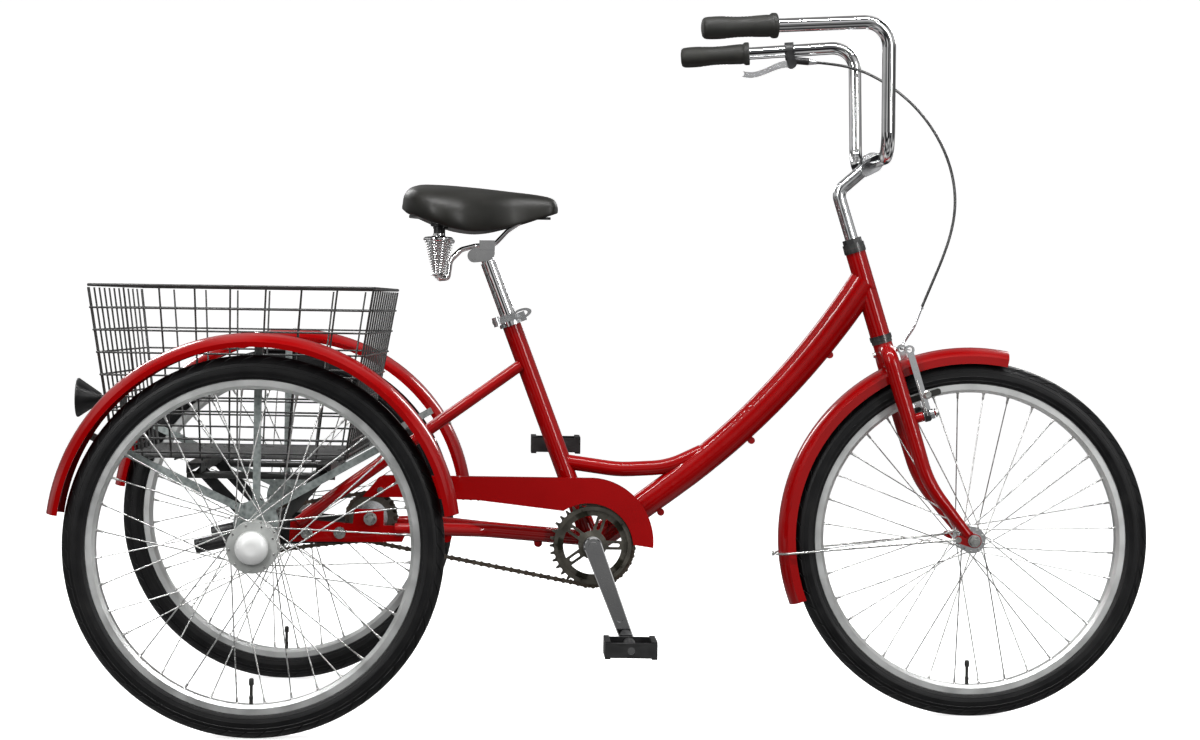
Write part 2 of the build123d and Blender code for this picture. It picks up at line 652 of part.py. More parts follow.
# ---------------------------------------------------------------- seatpost and saddle
with BuildPart() as seatpost:
    add(rod(SEAT_TOP - SEAT_UP * 150, POST_TOP, POST_R))
    add(rod(POST_TOP, POST_TOP + SEAT_UP * 16, 11.0))
    add(rod(SEAT_TOP - SEAT_UP * 155, POST_TOP - SEAT_UP * 12, POST_R - 2.2), mode=Mode.SUBTRACT)
save(seatpost.part, "seatpost")

RAIL_R = 3.5
SPRING_X, SPRING_Y = -297.0, 70.0
PAN_Z = 829.0
rails = []
for side in (1, -1):
    rail_points = [
        (SPRING_X, side * SPRING_Y, 726.0), (-282.0, side * 57.5, 727.5), (-278.0, side * 53.0, 758.0),
        (-260.0, side * 42.0, 776.0), (-236.0, side * 24.0, 783.0), (-204.0, side * 21.0, 785.0),
        (-182.0, side * 18.0, 809.0), (-160.0, side * 15.0, 824.0),
    ]
    rails.append(bent(rail_points, [8.0, 16.0, 20.0, 22.0, 20.0, 26.0], RAIL_R))
CLAMP_X, CLAMP_Z = -218.0, 772.0
with BuildPart() as rail_clamp:
    with BuildSketch(side_plane(0, CLAMP_X, CLAMP_Z)):
        Circle(15.0)
        with Locations((-20.0, -6.0)):
            Circle(11.0)
        make_hull()
    extrude(amount=17.0, both=True)
    with BuildSketch(side_plane(0, CLAMP_X - 20.0, CLAMP_Z - 6.0)):
        Circle(7.0)
    extrude(amount=31.0, both=True)
    with BuildSketch(side_plane(0, CLAMP_X + 2.0, 784.0)):
        Rectangle(26.0, 16.0)
    extrude(amount=30.0, both=True)
    for rail in rails:
        add(rail, mode=Mode.SUBTRACT)
    add(rod(POST_TOP - SEAT_UP * 1, POST_TOP + SEAT_UP * 16, 11.0), mode=Mode.SUBTRACT)
save(Compound(children=rails + rail_clamp.part.solids()), "saddle_rails")

SPRING_LOW_Z, SPRING_TOP_Z = 734.0, 789.0
SPRING_TURNS = 9
COIL_R = 2.0
springs = []
for side in (1, -1):
    for k in range(SPRING_TURNS):
        t = k / (SPRING_TURNS - 1)
        ring_z = SPRING_LOW_Z + t * (SPRING_TOP_Z - SPRING_LOW_Z)
        ring_r = 7.5 + t * 15.5
        with BuildPart() as turn:
            with BuildSketch(side_plane(side * SPRING_Y, SPRING_X, ring_z)):
                with Locations((ring_r, 0)):
                    Ellipse(COIL_R, 3.3)
            revolve(axis=Axis((SPRING_X, side * SPRING_Y, 0), (0, 0, 1)))
        springs.append(turn.part)
    with BuildPart() as seat_plate:
        for low, high, radius in ((731.6, 733.4, 12.0), (792.5, 795.5, 25.0), (795.5, PAN_Z, 8.0)):
            with BuildSketch(Plane(origin=(SPRING_X, side * SPRING_Y, low), z_dir=(0, 0, 1))):
                Circle(radius)
            extrude(amount=high - low)
        add(rod((SPRING_X, side * SPRING_Y, 732.0), (SPRING_X, side * SPRING_Y, 793.0), 3.0))
    springs.append(seat_plate.part)
save(Compound(children=springs), "saddle_springs")


def saddle_plan(shrink):
    """Plan outline of the saddle: a wide rounded back and a narrow nose."""
    with BuildSketch() as plan:
        with BuildLine():
            nose = (-93.0 - shrink, 0)
            back = (-365.0 + shrink, 0)
            half = Spline(
                back, (-352.0 + shrink, 74.0 - shrink), (-300.0, 122.0 - shrink), (-235.0, 90.0 - shrink),
                (-175.0, 42.0 - shrink * 0.9), (-110.0 - shrink, 26.0 - shrink * 0.7), nose,
                tangents=((0, 1), (0, -1)),
            )
            mirror(half, about=Plane.XZ)
        make_face()
    return plan.sketch


with BuildPart() as saddle_cover:
    with BuildSketch(Plane.XY.offset(780.0)):
        add(saddle_plan(0.0))
    extrude(amount=120.0)
    with BuildSketch(side_plane(0)):
        with BuildLine():
            top = Spline((-366.0, 868.0), (-330.0, 884.0), (-240.0, 880.0), (-150.0, 872.0), (-92.0, 852.0))
            under_points = [(-92.0, 842.0), (-160.0, 822.0), (-246.0, 798.0), (-310.0, 812.0), (-366.0, 836.0)]
            under = Spline(*under_points)
            Line(top @ 1, under @ 0)
            Line(under @ 1, top @ 0)
        make_face()
    extrude(amount=130.0, both=True, mode=Mode.INTERSECT)
    with BuildSketch(Plane.XY.offset(780.0)):
        add(saddle_plan(15.0))
    extrude(amount=PAN_Z + 4.0 - 780.0, mode=Mode.SUBTRACT)
save(saddle_cover.part, "saddle_cover")

with BuildPart() as saddle_base:
    with BuildSketch(Plane.XY.offset(PAN_Z)):
        add(saddle_plan(16.0))
    extrude(amount=3.8)
save(saddle_base.part, "saddle_base")

# ---------------------------------------------------------------- fork, stem and handlebar
BOSS_S, BOSS_Y = -148.7, 44.0


def fork_blade(side):
    """One unicrown blade: out of the steerer, down beside the wheel, then forward, tapering to its end."""
    points = [
        head(-22, 0, side * 4), head(-32, 0, side * 46), head(-258, 0, side * 48), head(-360, 40, side * 50),
    ]
    with BuildPart() as blade:
        with BuildLine() as path:
            FilletPolyline(*points, radius=[24.0, 185.0])
        for spot, radius in ((0.0, 12.5), (0.55, 12.5), (1.0, 8.0)):
            with BuildSketch(Plane(origin=path.line @ spot, z_dir=path.line % spot)):
                Circle(radius)
        sweep(path=path.line, multisection=True)
    return blade.part


with BuildPart() as fork:
    add(rod(head(-46), head(-14), 16.5))
    for side in (1, -1):
        add(fork_blade(side))
    add(rod(head(-13.9), head(0), 40.0), mode=Mode.SUBTRACT)
    add(rod(head(-44), head(166), STEERER_R))
    for side in (1, -1):
        with BuildSketch(side_plane(side * 50.0, FRONT_X, WHEEL_R)):
            Circle(12.0)
            with Locations((-26.0, 2.0)):
                Circle(6.0)
            make_hull()
            with Locations((-10.0, 9.0)):
                Circle(9.0)
        extrude(amount=2.5, both=True)
        with BuildSketch(side_plane(side * 50.0, FRONT_X, WHEEL_R)):
            Circle(FRONT_AXLE_R)
            with Locations((-28.0, 2.0)):
                Circle(2.0)
        extrude(amount=20.0, both=True, mode=Mode.SUBTRACT)
        add(rod(head(BOSS_S, 2, side * BOSS_Y), head(BOSS_S, 25, side * BOSS_Y), 8.0))
        add(rod(head(BOSS_S, 20, side * BOSS_Y), head(BOSS_S, 47, side * BOSS_Y), 4.0))
    add(rod(head(-2), head(170), 11.15), mode=Mode.SUBTRACT)
save(fork.part, "fork")

# bottom, top, corner radius and number of sides of the knurled race and the locknut
LOCKNUTS = ((HEAD_LENGTH + 8.3, HEAD_LENGTH + 16.0, 18.5, 36), (HEAD_LENGTH + 16.0, 170.0, 16.5, 8))
with BuildPart() as headset_locknuts:
    for low, high, radius, sides in LOCKNUTS:
        with BuildSketch(HEAD_PLANE.offset(low)):
            RegularPolygon(radius, sides)
            Circle(STEERER_R, mode=Mode.SUBTRACT)
        extrude(amount=high - low)
    with BuildSketch(HEAD_PLANE.offset(-13.8)):
        Circle(17.5)
        Circle(STEERER_R, mode=Mode.SUBTRACT)
    extrude(amount=5.5)
save(Compound(children=headset_locknuts.part.solids()), "headset_locknuts")

BAR_CLAMP = (432.0, 0.0, 932.5)
with BuildPart() as stem:
    add(bent([head(60), head(253), (420.0, 0, 922.0)], [20.0], BAR_R))
    with BuildSketch(side_plane(0, BAR_CLAMP[0], BAR_CLAMP[2])):
        Circle(17.5)
        with Locations((-9.0, -13.0)):
            Circle(10.0)
        make_hull()
    extrude(amount=19.0, both=True)
    with BuildSketch(side_plane(0, BAR_CLAMP[0], BAR_CLAMP[2])):
        Circle(BAR_R)
    extrude(amount=30.0, both=True, mode=Mode.SUBTRACT)
    add(rod(head(55), head(160), 4.0), mode=Mode.SUBTRACT)
save(stem.part, "stem")

bar_points = [
    (127.0, -GRIP_Y, 1130.0), (BAR_X, -RISER_Y, 1150.0), (432.0, -190.0, 932.5),
    (432.0, 190.0, 932.5), (BAR_X, RISER_Y, 1150.0), (127.0, GRIP_Y, 1130.0),
]
BAR_BENDS = [40.0, 42.0, 42.0, 40.0]
with BuildPart() as handlebar:
    add(bent(bar_points, BAR_BENDS, BAR_R))
    add(bent(bar_points, BAR_BENDS, BAR_R - 1.6), mode=Mode.SUBTRACT)
save(handlebar.part, "handlebar")

grips = []
for side in (1, -1):
    end = Vector(127.0, side * GRIP_Y, 1130.0)
    along = (Vector(BAR_X, side * RISER_Y, 1150.0) - end).normalized()
    grip_plane = Plane(origin=end - along * 3.0, z_dir=along)
    with BuildPart() as grip:
        with BuildSketch(grip_plane):
            Circle(17.5)
        extrude(amount=116.0)
        fillet(grip.edges().filter_by(GeomType.CIRCLE), 4.0)
        with BuildSketch(grip_plane.offset(112.0)):
            Circle(20.5)
        extrude(amount=7.0)
        with BuildSketch(grip_plane.offset(3.0)):
            Circle(BAR_R)
        extrude(amount=130.0, mode=Mode.SUBTRACT)
    grips.append(grip.part)
save(Compound(children=grips), "grips")

# brake lever on the left bar: a clamp with its bracket, and the lever blade pivoted in it
left_end = Vector(127.0, GRIP_Y, 1130.0)
left_along = (Vector(BAR_X, RISER_Y, 1150.0) - left_end).normalized()
LEVER_PIVOT = (318.0, 206.0, 1118.0)
clamp_centre = left_end + left_along * 190.0
with BuildPart() as brake_bracket:
    add(rod(clamp_centre - left_along * 8, clamp_centre + left_along * 8, 15.5))
    with BuildSketch(side_plane(LEVER_PIVOT[1], LEVER_PIVOT[0], LEVER_PIVOT[2])):
        Circle(8.0)
        with Locations((-4.0, 16.0)):
            Circle(7.0)
        make_hull()
    extrude(amount=9.0, both=True)
    add(rod((316.0, 206.0, 1125.0), (348.0, 206.0, 1122.5), 6.5))
    with BuildSketch(side_plane(LEVER_PIVOT[1], LEVER_PIVOT[0] - 14.0, LEVER_PIVOT[2] - 3.0)):
        Rectangle(44.0, 24.0)
    extrude(amount=4.3, both=True, mode=Mode.SUBTRACT)
    add(rod((LEVER_PIVOT[0], 197, LEVER_PIVOT[2]), (LEVER_PIVOT[0], 215, LEVER_PIVOT[2]), 2.5))
    add(rod(clamp_centre - left_along * 12, clamp_centre + left_along * 12, BAR_R), mode=Mode.SUBTRACT)
save(Compound(children=brake_bracket.part.solids()), "brake_bracket")

with BuildPart() as brake_lever:
    with BuildSketch(side_plane(LEVER_PIVOT[1])):
        with BuildLine():
            upper = Spline((318.0, 1124.0), (296.0, 1121.0), (262.0, 1106.0), (232.0, 1104.0))
            RadiusArc(upper @ 1, (230.0, 1095.0), 4.8)
            lower = Spline((230.0, 1095.0), (262.0, 1096.0), (292.0, 1108.0), (318.0, 1112.0))
            RadiusArc(lower @ 1, upper @ 0, 6.1)
        make_face()
    extrude(amount=4.0, both=True)
    with BuildSketch(side_plane(LEVER_PIVOT[1], LEVER_PIVOT[0], LEVER_PIVOT[2])):
        Circle(2.5 + RUNNING)
    extrude(amount=10.0, both=True, mode=Mode.SUBTRACT)
save(brake_lever.part, "brake_lever")

# brake cable: its housing along the whole route, then the noodle, the boot and the bare inner wire
CABLE_R = 2.5
cable_points = [
    (351.0, 206.0, 1122.0), (390.0, 196.0, 1118.5), (433.0, 180.0, 1108.0), (470.0, 162.0, 1088.0),
    (504.0, 143.0, 1062.0), (533.0, 126.0, 1031.0), (558.0, 111.0, 994.0), (577.0, 98.0, 952.0),
    (588.0, 88.0, 908.0), (590.0, 80.0, 863.0), (582.0, 74.0, 818.0), (567.0, 70.0, 774.0),
    (549.0, 68.0, 731.0), (532.0, 67.0, 690.0),
]


def largest_bends(points):
    """For each corner, 0.45 of its shorter run over the tangent of half its turn."""
    corners = [Vector(*p) for p in points]
    bends = []
    for before, here, after in zip(corners, corners[1:], corners[2:]):
        turn = radians((here - before).get_angle(after - here))
        shorter = min((here - before).length, (after - here).length)
        bends.append(0.45 * shorter / (sin(turn / 2) / cos(turn / 2)))
    return bends


cable_bends = largest_bends(cable_points)
brake_cable = bent(cable_points, cable_bends, CABLE_R)
with BuildLine() as cable_line:
    FilletPolyline(*cable_points, radius=cable_bends)
cable_length = sum(edge.length for edge in cable_line.line.edges())
print("brake cable radii", [round(r, 1) for r in cable_bends], "length", round(cable_length, 1))
save(brake_cable, "brake_cable")

ARM_TOP_S, ARM_F, ARM_Y = -35.4, 34.8, 44.0
CRADLE = head(ARM_TOP_S, ARM_F, 0)
noodle_points = [
    (532.0, 67.0, 690.0), (519.0, 67.0, 655.0), (CRADLE.X, 67.0, CRADLE.Z), (CRADLE.X, 38.0, CRADLE.Z),
]
noodle_top = Vector(*noodle_points[0])
noodle_way = (Vector(*noodle_points[1]) - noodle_top).normalized()
cable_noodle = [
    bent([noodle_top + noodle_way * 3.0] + noodle_points[1:], [60.0, 18.0], 2.3),
    rod(noodle_top + noodle_way * 0.05, noodle_top + noodle_way * 2.9, 3.6),
    rod((CRADLE.X, 37.9, CRADLE.Z), (CRADLE.X, -52.0, CRADLE.Z), 0.8),
]
save(Compound(children=cable_noodle), "cable_noodle")


def brake_arm(side):
    """A linear-pull arm: a hub on its pivot, a slim blade up past the fender, and an eye for the cable."""
    plane = Plane(origin=head(BOSS_S, 25.5, side * ARM_Y), x_dir=(0, 1, 0), z_dir=HEAD_FWD)
    up = (HEAD_UP - HEAD_FWD * HEAD_UP.dot(HEAD_FWD)).normalized()
    sign = 1 if plane.y_dir.dot(up) > 0 else -1
    with BuildPart() as arm:
        with BuildSketch(plane):
            Circle(8.5)
        extrude(amount=18.0)
        with BuildSketch(plane.offset(3.5)):
            with Locations((side * -0.5, sign * 57.0)):
                Rectangle(6.0, 112.0)
        extrude(amount=11.0)
        with BuildSketch(side_plane(side * (ARM_Y - 0.5), CRADLE.X, CRADLE.Z)):
            Circle(8.0)
        extrude(amount=3.0, both=True)
        with BuildSketch(side_plane(side * ARM_Y, CRADLE.X, CRADLE.Z)):
            Circle(4.5)
        extrude(amount=12.0, both=True, mode=Mode.SUBTRACT)
        with BuildSketch(plane.offset(-5.0)):
            Circle(4.0 + RUNNING)
        extrude(amount=40.0, mode=Mode.SUBTRACT)
    return arm.part


def brake_pad(side):
    """A curved-on-the-rim rubber block and its threaded post in the arm."""
    centre = head(-116.0, 41.1, 0)
    out = Vector(centre.X - FRONT_X, 0, centre.Z - WHEEL_R).normalized()
    tangent = Vector(out.Z, 0, -out.X)
    plane = Plane(origin=centre - out * 2.0 + Vector(0, side * 16.8, 0), x_dir=tangent, z_dir=(0, side, 0))
    with BuildPart() as pad:
        with BuildSketch(plane):
            RectangleRounded(54.0, 10.0, 3.0)
        extrude(amount=9.0)
        with BuildSketch(plane.offset(9.0)):
            Circle(3.0)
        extrude(amount=14.5)
    return pad.part


for side, name in ((-1, "right"), (1, "left")):
    save(brake_arm(side), f"{name}_brake_arm")
    save(brake_pad(side), f"{name}_brake_pad")

# ---------------------------------------------------------------- front axle, fender and stay
AXLE_SHOULDER_Y = 61.0
with BuildPart() as stepped_axle:
    add(rod((FRONT_X, -AXLE_SHOULDER_Y, WHEEL_R), (FRONT_X, AXLE_SHOULDER_Y, WHEEL_R), FRONT_AXLE_R))
    add(rod((FRONT_X, -68, WHEEL_R), (FRONT_X, 68, WHEEL_R), AXLE_END_R))
front_axle = [stepped_axle.part]
for side in (1, -1):
    front_axle.append(disc(side * 42.9, 8.0, 9.0, FRONT_X, WHEEL_R, FRONT_AXLE_R))
    front_axle.append(disc(side * 53.4, 10.5, 1.6, FRONT_X, WHEEL_R, FRONT_AXLE_R))
    front_axle.append(hex_nut(side * 57.4, 9.0, 6.2, FRONT_X, WHEEL_R, FRONT_AXLE_R))
save(Compound(children=front_axle), "front_axle")


def fender(x, y, z, outer_r, half_w, skirt_r, start_deg, end_deg):
    """A crowned mudguard with side skirts, an arc about the point x, z."""
    out = Vector(cos(radians(start_deg)), 0, sin(radians(start_deg)))
    plane = Plane(origin=(x, y, z), x_dir=out, z_dir=(-out.Z, 0, out.X))
    shoulder = outer_r - 14.0
    inner_w = half_w - FENDER_T
    with BuildPart() as guard:
        with BuildSketch(plane):
            with BuildLine():
                Line((skirt_r, -half_w), (shoulder, -half_w))
                ThreePointArc((shoulder, -half_w), (outer_r, 0), (shoulder, half_w))
                Line((shoulder, half_w), (skirt_r, half_w))
                Line((skirt_r, half_w), (skirt_r, inner_w))
                Line((skirt_r, inner_w), (shoulder, inner_w))
                ThreePointArc((shoulder, inner_w), (outer_r - FENDER_T, 0), (shoulder, -inner_w))
                Line((shoulder, -inner_w), (skirt_r, -inner_w))
                Line((skirt_r, -inner_w), (skirt_r, -half_w))
            make_face()
        revolve(axis=Axis((x, y, z), (0, -1, 0)), revolution_arc=end_deg - start_deg)
    return guard.part


save(fender(FRONT_X, 0, WHEEL_R, FRONT_FENDER_R, 30.0, 296.0, 79.0, 201.0), "front_fender")
rear_fenders = []
for side in (1, -1):
    shift_x = FENDER_SHIFT_X[side]
    arc_z = WHEEL_R + FENDER_RISE
    rear_fenders.append(
        fender(REAR_X + shift_x, side * HALF_TRACK, arc_z, REAR_FENDER_R, 35.0, 304.0, 8.4, 173.0)
    )
save(Compound(children=rear_fenders), "rear_fenders")

stay_points = [
    (578.0, -56.0, 302.0), (299.0, -34.5, 272.5), (279.5, -19, 270.2),
    (279.5, 19, 270.2), (299.0, 34.5, 272.5), (578.0, 56.0, 302.0),
]
fender_stay = [bent(stay_points, [14.0, 10.0, 10.0, 14.0], 1.8)]
fender_stay.append(rod((277.7, 0, 270.0), (273.5, 0, 269.6), 4.0))
for side in (1, -1):
    fender_stay.append(rod((578.0, side * 57.9, 302.0), (578.0, side * 61.5, 302.0), 5.0))
save(Compound(children=fender_stay), "fender_stay")

# ---------------------------------------------------------------- rear axle carrier
HOUSING_R = 21.0
BEARING_R = 18.0
CARRIER_Y = 60.0
TUBE_SPANS = {-1: (-42.0, -288.0), 1: (-14.0, 288.0)}
with BuildPart() as axle_carrier:
    for side, (inner, outer) in TUBE_SPANS.items():
        add(rod((REAR_X, inner, WHEEL_R), (REAR_X, outer, WHEEL_R), HOUSING_R))
        with BuildSketch(side_plane(side * CARRIER_Y)):
            with BuildLine():
                Polyline((-573.0, 279.0), (-441.0, 284.0), (-441.0, 318.0), (-573.0, 325.0), close=True)
            make_face()
        extrude(amount=3.0, both=True)
        for x, z in CARRIER_BOLTS:
            add(rod((x, side * CARRIER_Y, z), (x, side * (PLATE_Y - PLATE_T / 2), z), 8.0))
        for low, high in (((-590.0, 314.0), (-684.0, 409.0)), ((-556.0, 314.0), (-476.0, 409.0))):
            along = Vector(high[0] - low[0], 0, high[1] - low[1])
            with BuildSketch(Plane(origin=(low[0], side * 120, low[1]), x_dir=(0, 1, 0), z_dir=along)):
                Rectangle(8.0, 18.0)
            extrude(amount=along.length)
        add(rod((-580.0, side * 120, 304.0), (-688.0, side * 120, 279.0), 12.0))
    for x in (-684.0, -474.0):
        with BuildSketch(Plane.XZ):
            with Locations((x, 413.0)):
                Rectangle(24.0, 16.0)
            with Locations((x, 410.0)):
                Rectangle(19.0, 16.0, mode=Mode.SUBTRACT)
        extrude(amount=195.0, both=True)
    for y in (-150.0, 150.0):
        add(rod((-700.0, y, 399.5), (-458.0, y, 399.5), 6.0))
    for side, (inner, outer) in TUBE_SPANS.items():
        add(rod((REAR_X, inner, WHEEL_R), (REAR_X, outer, WHEEL_R), BEARING_R), mode=Mode.SUBTRACT)
        with BuildSketch(side_plane(side * CARRIER_Y)):
            with Locations(*CARRIER_BOLTS):
                Circle(4.0)
        extrude(amount=12.0, both=True, mode=Mode.SUBTRACT)
save(axle_carrier.part, "axle_carrier")

for side, (inner, outer) in TUBE_SPANS.items():
    for y in (inner + side * 7.0, outer - side * 7.0):
        frame_bearings.append(disc(y, BEARING_R, 12.0, REAR_X, WHEEL_R, AXLE_R + RUNNING))
save(Compound(children=frame_bearings), "frame_bearings")

carrier_bolts = []
for side in (1, -1):
    for x, z in CARRIER_BOLTS:
        carrier_bolts.append(rod((x, side * 48.0, z), (x, side * 84.0, z), 4.0))
        carrier_bolts.append(hex_nut(side * 54.0, 7.5, 5.8, x, z, 4.0))
        carrier_bolts.append(disc(side * 77.4, 10.0, 1.6, x, z, 4.0))
        carrier_bolts.append(hex_nut(side * 81.0, 7.5, 5.4, x, z, 4.0))
SCREW_X, SCREW_Z = -388.0, 371.5
with BuildPart() as guard_screw:
    add(rod((SCREW_X, GUARD_Y - 3.4, SCREW_Z), (SCREW_X, GUARD_Y - 0.76, SCREW_Z), 5.5))
    add(rod((SCREW_X, GUARD_Y - 0.76, SCREW_Z), (SCREW_X, GUARD_Y + 6.0, SCREW_Z), 3.0))
save(Compound(children=carrier_bolts + [guard_screw.part]), "frame_fasteners")

# fender struts: a half-round plate on the end of each axle housing, and three flat bars to the fender
STRUT_Y = 285.0
STRUT_ROOT = 45.0
STRUT_END_R = 311.0
fender_struts = []
for side in (1, -1):
    plane = side_plane(side * STRUT_Y, REAR_X, WHEEL_R)
    ends = []
    with BuildPart() as struts:
        with BuildSketch(plane):
            with Locations((0, 34.0)):
                Circle(36.0)
            with Locations((0, -21.0)):
                Rectangle(90.0, 42.0, mode=Mode.SUBTRACT)
            Circle(30.0)
            for angle in (29.5, 90.0, 155.0):
                root = (-FENDER_SHIFT_X[side], STRUT_ROOT - FENDER_RISE)
                along = root[0] * cos(radians(angle)) + root[1] * sin(radians(angle))
                reach = sqrt(STRUT_END_R**2 - hypot(*root) ** 2 + along**2) - along
                run, climb = reach * cos(radians(angle)), reach * sin(radians(angle))
                ends.append((run * 0.97, STRUT_ROOT + climb * 0.97, angle))
                with Locations((run / 2, STRUT_ROOT + climb / 2)):
                    Rectangle(reach, 12.0, rotation=angle)
            Circle(HOUSING_R, mode=Mode.SUBTRACT)
        extrude(amount=1.5, both=True)
        with BuildSketch(plane):
            for x, z, angle in ends:
                with Locations((x, z)):
                    Rectangle(16.0, 12.0, rotation=angle)
        extrude(amount=-side * 5.0)
        with BuildSketch(plane):
            with Locations((0, STRUT_ROOT)):
                Circle(9.0)
        extrude(amount=4.0, both=True)
    fender_struts.append(struts.part)
save(Compound(children=fender_struts), "fender_struts")

# ---------------------------------------------------------------- wire basket
LOW_X0, LOW_X1, LOW_Y = BASKET_LOW
TOP_X0, TOP_X1, TOP_Y = BASKET_TOP
WIRE_GAP = 0.06
BASKET_TURN_DEG = 2.3
BASKET_SHIFT = 9.5
ROW_HEIGHTS = (671.0, 635.0, 599.0, 563.0, 528.0, 506.0, 482.0, 461.0, 439.0)


def between(a, b, t):
    """The point a fraction of the way from a to b."""
    return a + (b - a) * t


def wire_panel(low_a, low_b, top_a, top_b, columns):
    """A flat wall of upright wires with level wires across their outer side and a thick top wire."""
    low_a, low_b, top_a, top_b = (Vector(*p) for p in (low_a, low_b, top_a, top_b))
    across = (low_b - low_a).normalized()
    rise = (between(top_a, top_b, 0.5) - between(low_a, low_b, 0.5)).normalized()
    out = rise.cross(across).normalized()
    centre = Vector(between(LOW_X0, LOW_X1, 0.5), 0, low_a.Z)
    if out.dot(low_a - centre) < 0:
        out = out * -1
    lift = (RIM_WIRE_R + WIRE_R + WIRE_GAP) / (top_a.Z - low_a.Z)
    made = [rod(top_a, top_b, RIM_WIRE_R)]
    for k in range(columns):
        t = k / (columns - 1)
        foot = between(low_a, low_b, t)
        tip = between(top_a, top_b, t)
        made.append(rod(foot, between(foot, tip, 1.0 - lift), WIRE_R))
    for z in ROW_HEIGHTS:
        t = (z - low_a.Z) / (top_a.Z - low_a.Z)
        offset = out * (2 * WIRE_R + WIRE_GAP)
        start = between(low_a, top_a, t) + offset - across * (WIRE_R - 0.1)
        end = between(low_b, top_b, t) + offset + across * (WIRE_R - 0.1)
        made.append(rod(start, end, WIRE_R))
    return Compound(children=made)


def set_askew(panel):
    """The basket sits on its carrier turned a little about its middle."""
    middle = between(TOP_X0, TOP_X1, 0.5)
    turned = panel.rotate(Axis((middle, 0, 0), (0, 0, 1)), -BASKET_TURN_DEG)
    return turned.moved(Location((BASKET_SHIFT, 0, 0)))


CORNER = 8.0
for side, name in ((-1, "right"), (1, "left")):
    wall = wire_panel(
        (LOW_X0, side * LOW_Y, BASKET_LOW_Z), (LOW_X1, side * LOW_Y, BASKET_LOW_Z),
        (TOP_X0, side * TOP_Y, BASKET_TOP_Z), (TOP_X1, side * TOP_Y, BASKET_TOP_Z), 9,
    )
    save(set_askew(wall), f"basket_{name}")
for low_x, top_x, name in ((LOW_X0, TOP_X0, "back"), (LOW_X1, TOP_X1, "front")):
    wall = wire_panel(
        (low_x, CORNER - LOW_Y, BASKET_LOW_Z), (low_x, LOW_Y - CORNER, BASKET_LOW_Z),
        (top_x, CORNER - TOP_Y, BASKET_TOP_Z), (top_x, TOP_Y - CORNER, BASKET_TOP_Z), 12,
    )
    save(set_askew(wall), f"basket_{name}")

floor_wires = []
for k in range(13):
    y = between(-LOW_Y + 9.0, LOW_Y - 9.0, k / 12)
    floor_wires.append(rod((LOW_X0 + 5.0, y, BASKET_LOW_Z), (LOW_X1 - 5.0, y, BASKET_LOW_Z), WIRE_R))
for k in range(9):
    x = between(LOW_X0 + 9.0, LOW_X1 - 9.0, k / 8)
    low_z = BASKET_LOW_Z - 2 * WIRE_R - WIRE_GAP
    floor_wires.append(rod((x, 5.0 - LOW_Y, low_z), (x, LOW_Y - 5.0, low_z), WIRE_R))
save(set_askew(Compound(children=floor_wires)), "basket_floor")

# ---------------------------------------------------------------- rear reflector and chain guard
REFLECTOR_Z = 517.0
REFLECTOR_BACK = -905.5
reflector_plane = Plane(origin=(REFLECTOR_BACK, 0, REFLECTOR_Z), x_dir=(0, 1, 0), z_dir=(1, 0, 0))
with BuildPart() as reflector_housing:
    with BuildSketch(reflector_plane.offset(2.5)):
        Circle(33.0)
    with BuildSketch(reflector_plane.offset(40.0)):
        Circle(8.0)
    loft()
    with BuildSketch(reflector_plane):
        Circle(33.0)
        Circle(30.5, mode=Mode.SUBTRACT)
    extrude(amount=2.5)
    with BuildSketch(reflector_plane.offset(40.0)):
        Circle(5.0)
    extrude(amount=38.0)
    with BuildSketch(reflector_plane.offset(77.3)):
        Rectangle(64.0, 34.0)
    extrude(amount=2.0)
save(reflector_housing.part, "reflector_housing")
with BuildPart() as reflector_lens:
    with BuildSketch(reflector_plane.offset(0.5)):
        Circle(30.4)
    extrude(amount=1.9)
save(reflector_lens.part, "reflector_lens")

GUARD_T = 1.5
GUARD_OUTER = [(-31.5, 396.0), (43.4, 359.5), (69.0, 281.0)]
GUARD_LIP = [(-31.5, 394.4), (42.2, 358.4), (67.4, 281.0)]
with BuildPart() as chain_guard:
    with BuildSketch(side_plane(GUARD_Y)):
        with BuildLine():
            Polyline((-418.0, 360.0), (-390.0, 394.0), (-384.0, 396.0), GUARD_OUTER[0])
            ThreePointArc(*GUARD_OUTER)
            Line(GUARD_OUTER[2], (35.5, 286.0))
            ThreePointArc((35.5, 286.0), (-3.5, 345.4), (-82.0, 341.0))
            Polyline((-82.0, 341.0), (-225.0, 357.0), (-349.0, 360.0), (-418.0, 360.0))
        make_face()
    extrude(amount=GUARD_T / 2, both=True)
    with BuildSketch(side_plane(GUARD_Y)):
        with BuildLine():
            Line((-384.0, 396.0), GUARD_OUTER[0])
            ThreePointArc(*GUARD_OUTER)
            Line(GUARD_OUTER[2], GUARD_LIP[2])
            ThreePointArc(GUARD_LIP[2], GUARD_LIP[1], GUARD_LIP[0])
            Polyline(GUARD_LIP[0], (-384.0, 394.4), (-384.0, 396.0))
        make_face()
    extrude(amount=-20.0)
    with BuildSketch(side_plane(GUARD_Y)):
        with Locations((SCREW_X, SCREW_Z)):
            Circle(3.0)
    extrude(amount=5.0, both=True, mode=Mode.SUBTRACT)
save(chain_guard.part, "chain_guard")
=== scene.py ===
"""Adult tricycle: finishes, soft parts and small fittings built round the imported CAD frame."""
import json
from math import cos, pi, radians, sin

